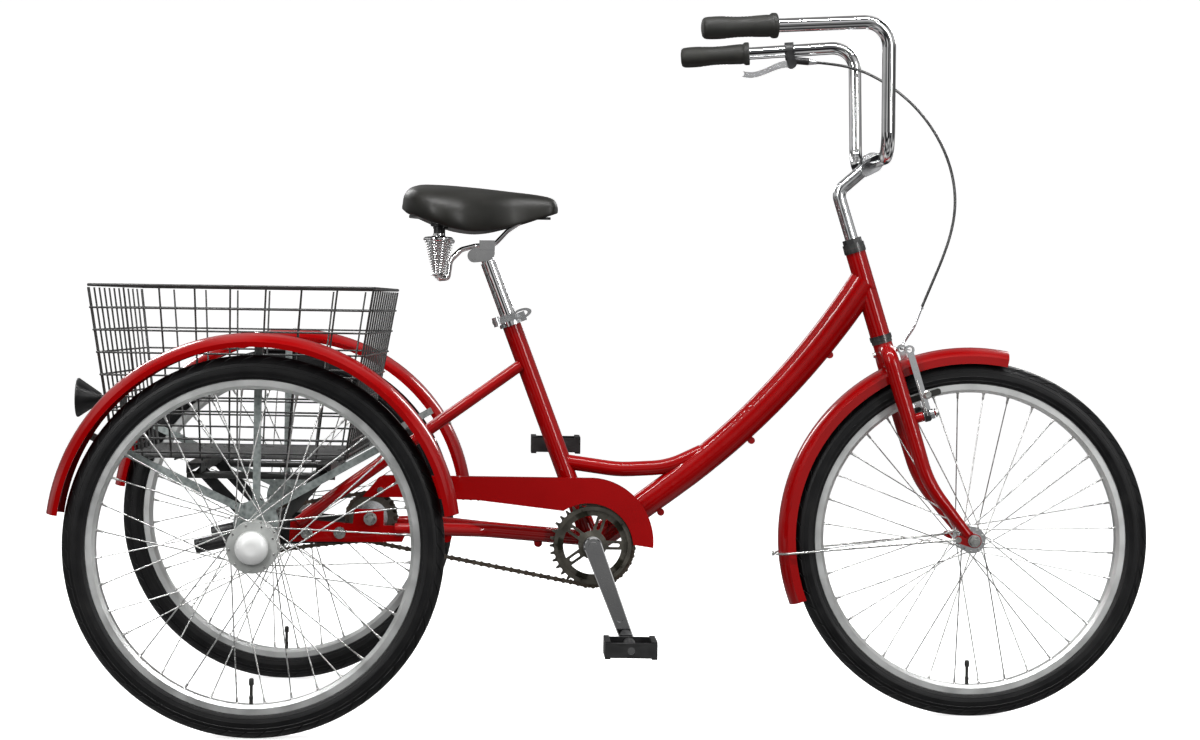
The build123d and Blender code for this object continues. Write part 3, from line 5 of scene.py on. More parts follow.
import bmesh
import bpy
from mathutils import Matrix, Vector


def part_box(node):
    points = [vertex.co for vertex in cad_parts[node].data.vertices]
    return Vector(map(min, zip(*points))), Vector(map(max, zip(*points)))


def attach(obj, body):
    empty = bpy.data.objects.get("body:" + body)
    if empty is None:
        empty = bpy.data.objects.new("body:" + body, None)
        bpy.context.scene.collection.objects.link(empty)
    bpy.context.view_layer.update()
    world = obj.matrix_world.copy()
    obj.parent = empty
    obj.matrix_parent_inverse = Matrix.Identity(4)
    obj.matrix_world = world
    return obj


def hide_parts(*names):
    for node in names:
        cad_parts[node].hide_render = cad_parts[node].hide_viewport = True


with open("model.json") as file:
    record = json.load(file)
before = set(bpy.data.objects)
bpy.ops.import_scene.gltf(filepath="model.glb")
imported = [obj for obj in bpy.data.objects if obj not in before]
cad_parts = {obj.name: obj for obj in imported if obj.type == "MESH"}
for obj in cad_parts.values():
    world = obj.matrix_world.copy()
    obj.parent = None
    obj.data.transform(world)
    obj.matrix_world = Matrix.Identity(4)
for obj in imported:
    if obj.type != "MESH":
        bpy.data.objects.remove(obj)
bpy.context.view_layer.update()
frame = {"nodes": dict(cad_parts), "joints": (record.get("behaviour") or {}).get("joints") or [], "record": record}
NODES = frame["nodes"]
MM = 0.001
UP = (0, 0, 1)
SIDES = {1: "left", -1: "right"}


def mm(*values):
    """A point given in millimetres, in metres."""
    return Vector([v * MM for v in values])


def joint(name):
    """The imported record's joint of that name."""
    return next(j for j in frame["joints"] if j["name"] == name)


# ---------------------------------------------------------------- main places, read from the frame
FRONT_AXLE = Vector(joint("front_wheel_spin")["pos_m"])
REAR_AXLE = Vector(joint("drive_axle_spin")["pos_m"])
HEAD_LOW = Vector(joint("steer")["pos_m"])
HEAD_UP = Vector(joint("steer")["axis"]).normalized()
HEAD_FWD = Vector((HEAD_UP.z, 0, -HEAD_UP.x))
WHEEL_R = FRONT_AXLE.z
HALF_TRACK = 0.325


def head(s, f=0.0, y=0.0):
    """A point by its height up the steering axis, its offset forward and its side, in millimetres."""
    return HEAD_LOW + HEAD_UP * s * MM + HEAD_FWD * f * MM + Vector((0, y * MM, 0))


# ---------------------------------------------------------------- camera
CAMERA_PLACE = (-0.1844, -4.330, 0.6836)
CAMERA_ROLL = -0.01425
CAMERA_LENS = 76.74
CAMERA_SHIFT = (0.07917, -0.05417)  # puts the tricycle a little off the middle

camera_data = bpy.data.cameras.new("camera")
camera_data.sensor_width = 36.0
camera_data.lens = CAMERA_LENS
camera_data.shift_x, camera_data.shift_y = CAMERA_SHIFT
camera = bpy.data.objects.new("camera", camera_data)
camera.location = CAMERA_PLACE
camera.rotation_euler = (pi / 2, CAMERA_ROLL, 0)
bpy.context.scene.collection.objects.link(camera)
bpy.context.scene.camera = camera
bpy.context.scene.view_settings.view_transform = "Standard"


# ---------------------------------------------------------------- mesh helpers
def link(name, data):
    """A new object of that data in the scene."""
    made = bpy.data.objects.new(name, data)
    bpy.context.scene.collection.objects.link(made)
    return made


def mesh_of(name, points, faces, smooth=True):
    """A mesh object from points in metres and its faces."""
    data = bpy.data.meshes.new(name)
    data.from_pydata([tuple(p) for p in points], [], faces)
    data.update()
    shell = bmesh.new()
    shell.from_mesh(data)
    bmesh.ops.recalc_face_normals(shell, faces=shell.faces)
    shell.to_mesh(data)
    shell.free()
    for face in data.polygons:
        face.use_smooth = smooth
    return link(name, data)


def frame_of(axis):
    """An axis made one unit long, and two unit vectors square to it and to each other."""
    axis = Vector(axis).normalized()
    helper = Vector((0, 0, 1)) if abs(axis.z) < 0.9 else Vector((1, 0, 0))
    side = axis.cross(helper).normalized()
    return axis, side, side.cross(axis).normalized()


def lathe_parts(profile, origin, axis, segments=32):
    """Points and faces of an outline of (radius, height) turned about an axis; zero radii close it."""
    axis, side, up = frame_of(axis)
    points, rings, faces = [], [], []
    for r, h in profile:
        centre = Vector(origin) + axis * h
        if r < 1e-7:
            rings.append([len(points)])
            points.append(centre)
            continue
        ring = []
        for k in range(segments):
            a = 2 * pi * k / segments
            ring.append(len(points))
            points.append(centre + side * r * cos(a) + up * r * sin(a))
        rings.append(ring)
    for low, high in zip(rings, rings[1:]):
        for k in range(segments):
            n = (k + 1) % segments
            if len(low) == 1 and len(high) == 1:
                continue
            if len(low) == 1:
                faces.append((low[0], high[n], high[k]))
            elif len(high) == 1:
                faces.append((low[k], low[n], high[0]))
            else:
                faces.append((low[k], low[n], high[n], high[k]))
    return points, faces


def turned(outline, origin, axis, segments):
    """Points and faces of an outline in millimetres turned about an axis."""
    return lathe_parts([(r * MM, h * MM) for r, h in outline], origin, axis, segments)


def skin(rows, closed=False):
    """Faces from each ring of points to the next, and from the last to the first if closed."""
    faces = []
    for here, after in zip(rows, rows[1:] + rows[:1] if closed else rows[1:]):
        for k in range(len(here)):
            n = (k + 1) % len(here)
            faces.append((here[k], here[n], after[n], after[k]))
    return faces


def joined(name, parts, smooth=True):
    """One mesh object from several lists of points and faces."""
    points, faces = [], []
    for more_points, more_faces in parts:
        base = len(points)
        points += more_points
        faces += [tuple(i + base for i in face) for face in more_faces]
    return mesh_of(name, points, faces, smooth)


def crisp(piece, degrees_limit=35.0):
    """Keeps a smooth-shaded piece's sharp corners sharp."""
    shell = bmesh.new()
    shell.from_mesh(piece.data)
    for edge in shell.edges:
        if len(edge.link_faces) == 2 and edge.calc_face_angle(0) > radians(degrees_limit):
            edge.smooth = False
    shell.to_mesh(piece.data)
    shell.free()
    return piece


def dome_screw(origin, axis, r, h):
    """Points and faces of a pan-head screw with a sunk middle."""
    profile = [
        (0, -0.6 * h), (r * 0.98, -0.6 * h), (r, 0), (r * 0.97, h * 0.35), (r * 0.82, h * 0.75),
        (r * 0.5, h), (r * 0.42, h), (r * 0.34, h * 0.55), (0, h * 0.5),
    ]
    return lathe_parts(profile, origin, axis, 24)


def hex_head(origin, axis, r, h):
    """Points and faces of a chamfered hexagon head."""
    profile = [
        (0, 0), (r, 0), (r, h * 0.8), (r * 0.86, h), (r * 0.5, h), (r * 0.45, h * 0.8), (0, h * 0.8),
    ]
    return lathe_parts(profile, origin, axis, 6)


def wire(name, points, radius, order=4, resolution=8, sides=6):
    """A round wire with capped ends, a NURBS curve turned into a mesh."""
    data = bpy.data.curves.new(name, "CURVE")
    data.dimensions = "3D"
    data.bevel_depth = radius
    data.bevel_resolution = sides
    data.use_fill_caps = True
    spline = data.splines.new("NURBS")
    spline.points.add(len(points) - 1)
    for point, place in zip(spline.points, points):
        point.co = (*place, 1)
    spline.order_u = order
    spline.use_endpoint_u = True
    spline.resolution_u = resolution
    curve = link(name + "_path", data)
    bpy.context.view_layer.update()
    finished_curve = curve.evaluated_get(bpy.context.evaluated_depsgraph_get())
    solid = bpy.data.meshes.new_from_object(finished_curve)
    bpy.data.objects.remove(curve)
    solid.name = name
    for face in solid.polygons:
        face.use_smooth = True
    return link(name, solid)


# ---------------------------------------------------------------- material helpers
def shader(name, base, roughness, metallic=0.0, **scalars):
    """A material with a Principled shader, its flat scalars set on the shader's own sockets."""
    made = bpy.data.materials.new(name)
    made.use_nodes = True
    tree = made.node_tree
    principled = tree.nodes["Principled BSDF"]
    principled.inputs["Base Color"].default_value = (*base, 1)
    principled.inputs["Roughness"].default_value = roughness
    principled.inputs["Metallic"].default_value = metallic
    for socket, value in scalars.items():
        principled.inputs[socket.replace("_", " ")].default_value = value
    coords = tree.nodes.new("ShaderNodeTexCoord")
    return made, tree, principled, coords.outputs["Object"]


def noise(tree, coords, scale, detail=4.0, stretch=(1, 1, 1)):
    """A noise texture's value, its space stretched to run along one direction if asked."""
    place = tree.nodes.new("ShaderNodeMapping")
    place.inputs["Scale"].default_value = stretch
    tree.links.new(coords, place.inputs["Vector"])
    texture = tree.nodes.new("ShaderNodeTexNoise")
    texture.inputs["Scale"].default_value = scale
    texture.inputs["Detail"].default_value = detail
    tree.links.new(place.outputs["Vector"], texture.inputs["Vector"])
    return texture.outputs["Fac"]


def cells(tree, coords, scale, feature="F1"):
    """A cell texture's distance value."""
    texture = tree.nodes.new("ShaderNodeTexVoronoi")
    texture.feature = feature
    texture.inputs["Scale"].default_value = scale
    tree.links.new(coords, texture.inputs["Vector"])
    return texture.outputs["Distance"]


def between(low, high):
    """A ramp's two stops, for a drift from one shade or value to another."""
    return [(0.3, low), (0.7, high)]


def through(dark, middle, light):
    """A ramp's three stops, for a drift through three shades."""
    return [(0.3, dark), (0.55, middle), (0.8, light)]


def ramp(tree, value, stops):
    """A value turned into colours or greys through a ramp."""
    made = tree.nodes.new("ShaderNodeValToRGB")
    tree.links.new(value, made.inputs["Fac"])
    elements = made.color_ramp.elements
    while len(elements) < len(stops):
        elements.new(0.5)
    for element, (place, colour) in zip(elements, stops):
        element.position = place
        colour = (colour,) * 3 if isinstance(colour, float) else colour
        element.color = (*colour, 1)
    return made.outputs["Color"]


def bump(tree, principled, height, distance, strength=1.0):
    """Fine relief on the surface, its depth in metres."""
    made = tree.nodes.new("ShaderNodeBump")
    made.inputs["Distance"].default_value = distance
    made.inputs["Strength"].default_value = strength
    tree.links.new(height, made.inputs["Height"])
    tree.links.new(made.outputs["Normal"], principled.inputs["Normal"])


def blend_over(tree, under, over, mask):
    """One colour laid over another where the mask is white."""
    made = tree.nodes.new("ShaderNodeMix")
    made.data_type = "RGBA"
    tree.links.new(mask, made.inputs["Factor"])
    tree.links.new(under, made.inputs["A"])
    tree.links.new(over, made.inputs["B"])
    return made.outputs["Result"]


def edge_wear(tree, low, high):
    """White where the surface turns a sharp outer corner."""
    geometry = tree.nodes.new("ShaderNodeNewGeometry")
    return ramp(tree, geometry.outputs["Pointiness"], [(low, 0.0), (high, 1.0)])


def graded(name, stops, roughness, scale, grain=0.0, depth=0.0, metallic=0.0, stretch=(1, 1, 1),
           worn=None, **scalars):
    """A finish whose colour and roughness drift over the surface, with fine grain in relief."""
    middle = stops[len(stops) // 2][1]
    made, tree, principled, coords = shader(name, middle, roughness[0], metallic, **scalars)
    drift = noise(tree, coords, scale, 5.0, stretch)
    colour = ramp(tree, drift, stops)
    if worn:
        wear_colour, low, high = worn
        bare = ramp(tree, drift, between(wear_colour, tuple(c * 0.85 for c in wear_colour)))
        colour = blend_over(tree, colour, bare, edge_wear(tree, low, high))
    tree.links.new(colour, principled.inputs["Base Color"])
    gloss = ramp(tree, drift, [(0.35, roughness[0]), (0.65, roughness[1])])
    tree.links.new(gloss, principled.inputs["Roughness"])
    if grain:
        bump(tree, principled, noise(tree, coords, grain, 3.0, stretch), depth)
    return made


def streaked(name, light, dark, roughness, stretch, scale=80.0, grain=700.0, depth=0.00002):
    """Polished or brushed metal with streaks along one direction."""
    stops = [(0.3, dark), (0.55, light), (0.75, light)]
    return graded(name, stops, roughness, scale, grain, depth, 1.0, stretch)


# ---------------------------------------------------------------- paint and bare metal
def red_enamel():
    """Gloss red enamel: a clear coat over red, with slight orange peel."""
    made, tree, principled, coords = shader("red_enamel", (0.27, 0.0, 0.0004), 0.3, 0.0, Coat_Weight=0.6,
                                            Coat_Roughness=0.03, Specular_IOR_Level=0.08)
    drift = noise(tree, coords, 9.0, 4.0)
    reds = [(0.3, (0.235, 0.0, 0.0003)), (0.55, (0.27, 0.0, 0.0004)), (0.75, (0.295, 0.0, 0.0006))]
    tree.links.new(ramp(tree, drift, reds), principled.inputs["Base Color"])
    tree.links.new(ramp(tree, drift, between(0.24, 0.33)), principled.inputs["Roughness"])
    bump(tree, principled, noise(tree, coords, 420.0, 2.0), 0.00004)
    return made


def black_steel():
    """Black painted steel, rubbed grey along its edges."""
    shades = through((0.004, 0.004, 0.0045), (0.007, 0.007, 0.0075), (0.012, 0.012, 0.0125))
    return graded("black_steel_look", shades, (0.26, 0.42), 40.0, 500.0, 0.00006,
                  worn=((0.05, 0.05, 0.048), 0.56, 0.66), Coat_Weight=0.3, Coat_Roughness=0.2)


def galvanised():
    """Dull galvanised steel with a faint spangle."""
    made, tree, principled, coords = shader("galvanised_look", (0.35, 0.39, 0.385), 0.45, 0.85)
    spangle = cells(tree, coords, 160.0)
    greys = [(0.1, (0.27, 0.31, 0.305)), (0.45, (0.37, 0.41, 0.40)), (0.8, (0.46, 0.50, 0.49))]
    tree.links.new(ramp(tree, spangle, greys), principled.inputs["Base Color"])
    dulling = ramp(tree, noise(tree, coords, 60.0), between(0.36, 0.56))
    tree.links.new(dulling, principled.inputs["Roughness"])
    bump(tree, principled, spangle, 0.0001, 0.4)
    return made


def dark_steel():
    """Black-oxide steel with a brown cast, bright on its edges."""
    shades = through((0.028, 0.026, 0.018), (0.05, 0.048, 0.034), (0.085, 0.08, 0.06))
    return graded("black_oxide_look", shades, (0.28, 0.46), 50.0, 600.0, 0.00005, 0.9,
                  worn=((0.32, 0.30, 0.26), 0.56, 0.68))


def chain_steel():
    """Oiled brown chain, bright where its plates rub."""
    shades = through((0.03, 0.02, 0.015), (0.065, 0.045, 0.032), (0.12, 0.09, 0.07))
    return graded("chain_look", shades, (0.3, 0.5), 160.0, 900.0, 0.00005, 0.85,
                  worn=((0.3, 0.27, 0.22), 0.56, 0.7))


# ---------------------------------------------------------------- rubber, vinyl and plastic
def tyre_rubber():
    """Dark tyre rubber: a greyish bloom, and dust along the tread's edges."""
    made, tree, principled, coords = shader("tyre_rubber_look", (0.0045, 0.0045, 0.005), 0.5, 0.0,
                                            Specular_IOR_Level=0.26)
    drift = noise(tree, coords, 26.0, 6.0)
    shades = through((0.0025, 0.0025, 0.003), (0.0045, 0.0045, 0.005), (0.009, 0.009, 0.0085))
    colour = ramp(tree, drift, shades)
    dust = edge_wear(tree, 0.53, 0.60)
    bloom = ramp(tree, drift, between((0.014, 0.014, 0.013), (0.024, 0.024, 0.022)))
    tree.links.new(blend_over(tree, colour, bloom, dust), principled.inputs["Base Color"])
    tree.links.new(ramp(tree, drift, between(0.38, 0.56)), principled.inputs["Roughness"])
    bump(tree, principled, noise(tree, coords, 900.0, 4.0), 0.00012)
    return made


def grip_rubber():
    """Matt black grip rubber with an olive cast."""
    shades = through((0.006, 0.006, 0.0045), (0.009, 0.009, 0.0065), (0.015, 0.015, 0.011))
    return graded("grip_rubber_look", shades, (0.5, 0.68), 60.0, 1100.0, 0.0001)


def black_plastic():
    """Moulded black plastic, grey along its edges."""
    shades = through((0.004, 0.004, 0.0045), (0.007, 0.007, 0.0075), (0.012, 0.012, 0.012))
    return graded("black_plastic_look", shades, (0.3, 0.46), 70.0, 1400.0, 0.00005,
                  worn=((0.04, 0.04, 0.04), 0.57, 0.68))


def cable_black():
    """The brake cable's smooth black plastic housing."""
    shades = between((0.006, 0.006, 0.006), (0.014, 0.014, 0.014))
    return graded("cable_housing_look", shades, (0.25, 0.38), 90.0, 1500.0, 0.00003,
                  Coat_Weight=0.4, Coat_Roughness=0.12)


def vinyl():
    """Black saddle vinyl: pebbled grain under a soft sheen, with an olive cast."""
    made, tree, principled, coords = shader("saddle_vinyl_look", (0.0065, 0.006, 0.0035), 0.45, 0.0,
                                            Coat_Weight=0.06, Coat_Roughness=0.3, Specular_IOR_Level=0.4)
    drift = noise(tree, coords, 18.0, 5.0)
    shades = through((0.004, 0.004, 0.0025), (0.0065, 0.006, 0.004), (0.0095, 0.009, 0.006))
    tree.links.new(ramp(tree, drift, shades), principled.inputs["Base Color"])
    tree.links.new(ramp(tree, drift, between(0.40, 0.5)), principled.inputs["Roughness"])
    pebble = cells(tree, coords, 900.0, "SMOOTH_F1")
    bump(tree, principled, pebble, 0.00012, 0.6)
    return made


HUB_CAP_Y = 0.3585


def hub_plastic():
    """The rear hub: a grey satin shell, and a near-white dust cap beyond its outer flange."""
    made, tree, principled, coords = shader("hub_look", (0.5, 0.51, 0.5), 0.35, 0.0, Coat_Weight=0.3,
                                            Coat_Roughness=0.2)
    drift = noise(tree, coords, 30.0, 4.0)
    shell = ramp(tree, drift, between((0.30, 0.31, 0.30), (0.42, 0.43, 0.415)))
    cap = ramp(tree, drift, between((0.66, 0.67, 0.66), (0.74, 0.745, 0.735)))
    split = tree.nodes.new("ShaderNodeSeparateXYZ")
    tree.links.new(coords, split.inputs["Vector"])
    side = tree.nodes.new("ShaderNodeMath")
    side.operation = "ABSOLUTE"
    tree.links.new(split.outputs["Y"], side.inputs[0])
    beyond = tree.nodes.new("ShaderNodeMath")
    beyond.operation = "GREATER_THAN"
    beyond.inputs[1].default_value = HUB_CAP_Y
    tree.links.new(side.outputs[0], beyond.inputs[0])
    tree.links.new(blend_over(tree, shell, cap, beyond.outputs[0]), principled.inputs["Base Color"])
    tree.links.new(ramp(tree, drift, between(0.3, 0.45)), principled.inputs["Roughness"])
    bump(tree, principled, noise(tree, coords, 300.0), 0.00006)
    return made


def reflector_look(name, colour, deep):
    """A clear coloured reflector with moulded prisms under its face."""
    made, tree, principled, coords = shader(name, colour, 0.12, 0.0, Coat_Weight=1.0, Coat_Roughness=0.02)
    prism = cells(tree, coords, 420.0)
    facets = ramp(tree, prism, [(0.0, colour), (0.5, deep), (0.9, colour)])
    tree.links.new(facets, principled.inputs["Base Color"])
    tree.links.new(ramp(tree, prism, [(0.2, 0.08), (0.8, 0.2)]), principled.inputs["Roughness"])
    bump(tree, principled, prism, 0.0005)
    return made


# ---------------------------------------------------------------- the record's material slots
LOOKS = {
    "red_paint": red_enamel(),
    "black_steel": black_steel(),
    "galvanised_steel": galvanised(),
    "zinc_steel": streaked("zinc_look", (0.66, 0.66, 0.64), (0.52, 0.52, 0.50), (0.2, 0.36), (1, 3, 1)),
    "chrome_plate": streaked("chrome_look", (0.86, 0.86, 0.86), (0.78, 0.78, 0.79), (0.035, 0.08),
                             (1, 1, 1), 25.0, 250.0, 0.00001),
    "polished_alloy": streaked("alloy_look", (0.80, 0.81, 0.82), (0.70, 0.71, 0.72), (0.14, 0.26), (1, 4, 1)),
    "rim_alloy": streaked("rim_look", (0.80, 0.81, 0.80), (0.72, 0.73, 0.72), (0.38, 0.48),
                          (1, 1, 1), 30.0, 900.0, 0.00002),
    "spoke_steel": streaked("spoke_look", (0.66, 0.66, 0.65), (0.56, 0.56, 0.55), (0.24, 0.36),
                            (1, 1, 1), 120.0),
    "hub_grey": hub_plastic(),
    "tyre_rubber": tyre_rubber(),
    "black_rubber": grip_rubber(),
    "black_plastic": black_plastic(),
    "dark_steel": dark_steel(),
    "chain_steel": chain_steel(),
    "saddle_vinyl": vinyl(),
    "red_lens": reflector_look("red_lens_look", (0.42, 0.0, 0.006), (0.16, 0.0, 0.002)),
}
AMBER_LENS = reflector_look("amber_lens_look", (0.75, 0.19, 0.01), (0.4, 0.08, 0.0))
CABLE_BLACK = cable_black()

for part in frame["record"]["subparts"]:
    node = NODES[part["node"]]
    node.data.materials.clear()
    node.data.materials.append(LOOKS[part["material_slot"]])


def dressed(piece, body, slot, look=None):
    """A finished piece: its material, from the record's slot unless a look is given, and the body that it moves
    with.
    """
    piece.data.materials.clear()
    piece.data.materials.append(look or LOOKS[slot])
    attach(piece, body)
    return piece


# ---------------------------------------------------------------- tyres with moulded tread
TYRE_R = 0.0235
TREAD_DEPTH = 0.0010
TREAD_BLOCKS = 62
SHOULDER = (18.0, 61.5)
GROOVE_SLANT = 0.75
# Half of the outside: degrees out from the tread's middle, share of the relief's height, and 1 where
# the grooves cut it. The ribs beyond the shoulder run all the way round.
CARCASS_LEVELS = [
    (0.0, 1, 0), (7.0, 1, 0), (11.5, 1, 0), (12.3, 0, 0), (15.2, 0, 0), (16.0, 1, 0), (21.0, 1, 0),
    (22.0, 1, 1), (30.0, 1, 1), (38.0, 1, 1), (46.0, 1, 1), (54.0, 1, 1), (60.0, 1, 1), (61.5, 0.15, 0),
    (67.0, 0, 0), (72.0, 0, 0), (73.0, 0.6, 0), (75.5, 0.6, 0), (76.5, 0, 0), (85.0, 0, 0), (94.0, 0, 0),
    (95.0, 0.45, 0), (97.5, 0.45, 0), (98.5, 0, 0), (107.0, 0, 0), (112.0, 0, 0), (113.0, 0.5, 0),
    (116.0, 0.5, 0), (117.0, 0, 0), (122.0, 0, 0), (126.9, 0, 0),
]
# Lines across one block and its groove: share of the block's length, and share of its height.
BLOCK_LINES = [(0.0, 1.0), (0.03, 0.0), (0.13, 0.0), (0.16, 1.0), (0.45, 1.0), (0.72, 1.0)]
# Half of the bead and the inside, as millimetres from the axle and from the middle plane.
INSIDE = [
    (262.4, 12.8), (256.2, 12.8), (256.2, 9.9), (265.2, 9.9), (265.2, 17.0), (276.5, 20.3), (290.8, 14.4),
    (296.8, 0.0),
]
VALVE_STEM = [
    (0.0, 0), (3.0, 0), (3.0, 16), (3.4, 17), (3.4, 21), (2.6, 22), (2.6, 38), (3.0, 38.5), (4.0, 39.5),
    (4.1, 45), (3.9, 48.0), (2.8, 49.6), (0.0, 50.0),
]
VALVE_FOOT_R = 0.256


def tyre_ring(axle, centre_y, block, share, level):
    """One ring of points round a tyre's section, its blocks lifted by level and slanted at the shoulder."""
    outside = [(-a, lift, cut) for a, lift, cut in reversed(CARCASS_LEVELS)] + CARCASS_LEVELS[1:]
    inside = INSIDE + [(r, -y) for r, y in reversed(INSIDE[:-1])]
    shoulder_start, shoulder_end = SHOULDER
    ring = []
    for degrees_out, lift, cut in outside:
        past_start = min(abs(degrees_out), shoulder_end) - shoulder_start
        slant = GROOVE_SLANT * max(0.0, past_start / (shoulder_end - shoulder_start))
        stagger = 0.5 if degrees_out < 0 else 0.0
        turn = 2 * pi * (block + share + slant + stagger) / TREAD_BLOCKS
        height = (lift * level if cut else lift) * TREAD_DEPTH
        r = TYRE_R - TREAD_DEPTH + height
        out = WHEEL_R - TYRE_R + r * cos(radians(degrees_out))
        side = r * sin(radians(degrees_out))
        ring.append(Vector((axle.x + out * cos(turn), centre_y + side, axle.z + out * sin(turn))))
    turn = 2 * pi * (block + share) / TREAD_BLOCKS
    for r, y in inside:
        out = r * MM
        ring.append(Vector((axle.x + out * cos(turn), centre_y + y * MM, axle.z + out * sin(turn))))
    return ring


def tyre(name, axle, centre_y, body, replaced):
    """A tyre whose shoulder blocks are cut by slanted grooves, with ribs on its walls, and its valve."""
    points, rows = [], []
    for block in range(TREAD_BLOCKS):
        for share, level in BLOCK_LINES:
            ring = tyre_ring(axle, centre_y, block, share, level)
            rows.append(range(len(points), len(points) + len(ring)))
            points += ring
    carcass = crisp(mesh_of(name, points, skin(rows, closed=True)), 30.0)
    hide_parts(replaced)
    dressed(carcass, body, "tyre_rubber")
    foot = Vector((axle.x, centre_y, axle.z - VALVE_FOOT_R))
    valve = joined(name + "_valve", [turned(VALVE_STEM, foot, UP, 20)])
    dressed(crisp(valve), body, "black_rubber")


tyre("front_tyre_look", FRONT_AXLE, 0.0, "front_wheel", "front_tyre")
tyre("right_tyre_look", REAR_AXLE, -HALF_TRACK, "drive_axle", "right_wheel_tyre")
tyre("left_tyre_look", REAR_AXLE, HALF_TRACK, "left_wheel", "left_wheel_tyre")


# ---------------------------------------------------------------- spoke nipples and spoke heads
SPOKE_COUNT = 36
SPOKE_STEP = 0.0009
SPOKE_END_R = 0.248
SPOKE_END_Y = 0.003
CROSS_DEG = 60.0
NIPPLE_SINK = 0.0008
HEAD_OFFSET = 0.0021
NIPPLE = [(0, 0.0012), (2.9, 0.0012), (2.9, 1.6), (2.0, 2.6), (1.9, 9.6), (1.45, 11.4), (0, 11.4)]
SPOKE_HEAD = [(0, -0.8), (1.9, -0.8), (2.1, 0.2), (1.5, 1.2), (0, 1.5)]


def spoke_line(axle, centre_y, hole_r, flanges, k):
    """Where spoke k leaves its hub flange and meets the rim, and the way it leans, as in the frame."""
    out = radians(360.0 / SPOKE_COUNT * (k + 0.5))
    flange = flanges[k % 2]
    lean = 1 if (k // 2) % 2 == 0 else -1
    hub = out + radians(lean * CROSS_DEG)
    end_y = centre_y + (SPOKE_END_Y if flange > centre_y else -SPOKE_END_Y)
    start = Vector((axle.x + hole_r * cos(hub), flange + lean * SPOKE_STEP, axle.z + hole_r * sin(hub)))
    end = Vector((axle.x + SPOKE_END_R * cos(out), end_y, axle.z + SPOKE_END_R * sin(out)))
    return start, end, lean


def spoke_fittings(name, axle, centre_y, hole_r, flanges, body):
    """Nipples at the rim and bent heads in the flanges, one of each to a spoke."""
    nipples, heads = [], []
    for k in range(SPOKE_COUNT):
        start, end, lean = spoke_line(axle, centre_y, hole_r, flanges, k)
        inward = (start - end).normalized()
        nipples.append(turned(NIPPLE, end + inward * NIPPLE_SINK, inward, 10))
        seat = start - Vector((0, lean * (SPOKE_STEP + HEAD_OFFSET), 0))
        heads.append(turned(SPOKE_HEAD, seat, (0, -lean, 0), 10))
    dressed(crisp(joined(name + "_nipples", nipples)), body, "spoke_steel")
    dressed(crisp(joined(name + "_spoke_heads", heads)), body, "spoke_steel")


spoke_fittings("front", FRONT_AXLE, 0.0, 0.019, (-0.031, 0.031), "front_wheel")
spoke_fittings("right", REAR_AXLE, -HALF_TRACK, 0.036, (-0.350, -0.300), "drive_axle")
spoke_fittings("left", REAR_AXLE, HALF_TRACK, 0.036, (0.350, 0.300), "left_wheel")


# ---------------------------------------------------------------- saddle cover
SADDLE_LOW, SADDLE_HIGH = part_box("saddle_cover")
SADDLE_STATIONS = 56
SADDLE_AROUND = 26
# From the back, 0, to the nose, 1: share of the half width, height of the top and height of the skirt.
PLAN = [
    (0.0, 0.0), (0.012, 0.30), (0.04, 0.56), (0.10, 0.80), (0.20, 0.965), (0.30, 1.0), (0.40, 0.93),
    (0.50, 0.74), (0.60, 0.52), (0.70, 0.355), (0.80, 0.28), (0.90, 0.25), (0.955, 0.225), (0.985, 0.165),
    (1.0, 0.0),
]
CROWN = [
    (0.0, 0.848), (0.02, 0.869), (0.06, 0.882), (0.13, 0.887), (0.30, 0.8855), (0.50, 0.8815),
    (0.70, 0.8765), (0.85, 0.872), (0.94, 0.868), (0.985, 0.8625), (1.0, 0.850),
]
SKIRT = [
    (0.0, 0.842), (0.02, 0.834), (0.08, 0.827), (0.20, 0.813), (0.32, 0.803), (0.44, 0.7985),
    (0.54, 0.8005), (0.70, 0.811), (0.85, 0.823), (0.95, 0.831), (1.0, 0.836),
]
# Across the hollow underside: share of the half width, and share of the hollow's height.
UNDERSIDE = [(-0.86, 0.0), (-0.80, 1.0), (-0.4, 1.0), (0.0, 1.0), (0.4, 1.0), (0.80, 1.0), (0.86, 0.0)]
HOLLOW = 0.012
SKIRT_LIP = 0.004
SHELL_INSET = 0.002
AIR_PRESSURE = 4.0
CLOTH_FRAMES = 20
MOST_PUFF = 0.0016
EASING_PASSES = 5


def along(table, t):
    """A value read from a table of (place, value), in a straight line from each to the next."""
    for (t0, v0), (t1, v1) in zip(table, table[1:]):
        if t <= t1:
            share = (t - t0) / (t1 - t0)
            return v0 + (v1 - v0) * share
    return table[-1][1]


def saddle_section(t, shrink):
    """One cross-section of the saddle: over the crown from side to side, and back along the hollow."""
    length = SADDLE_HIGH.x - SADDLE_LOW.x - 2 * shrink
    half = (SADDLE_HIGH.y - SADDLE_LOW.y) / 2 - shrink
    x = SADDLE_LOW.x + shrink + length * t
    width = max(half * along(PLAN, t), 0.002)
    top = along(CROWN, t) - shrink
    low = min(along(SKIRT, t) + shrink, top - 0.003)
    flank = 0.62 + 0.18 * t
    section = []
    for k in range(SADDLE_AROUND + 1):
        a = pi * (k / SADDLE_AROUND) * 1.10 - 0.05 * pi
        y = width * abs(cos(a)) ** flank * (1 if cos(a) > 0 else -1)
        if sin(a) < 0:
            section.append(Vector((x, y * 0.95, low)))
        else:
            rise = sin(a) ** 0.72
            section.append(Vector((x, y, low + SKIRT_LIP + (top - low - SKIRT_LIP) * rise)))
    ceiling = min(low + HOLLOW, top - 0.0025)
    for share, lift in UNDERSIDE:
        section.append(Vector((x, width * share, low + (ceiling - low) * lift)))
    return section


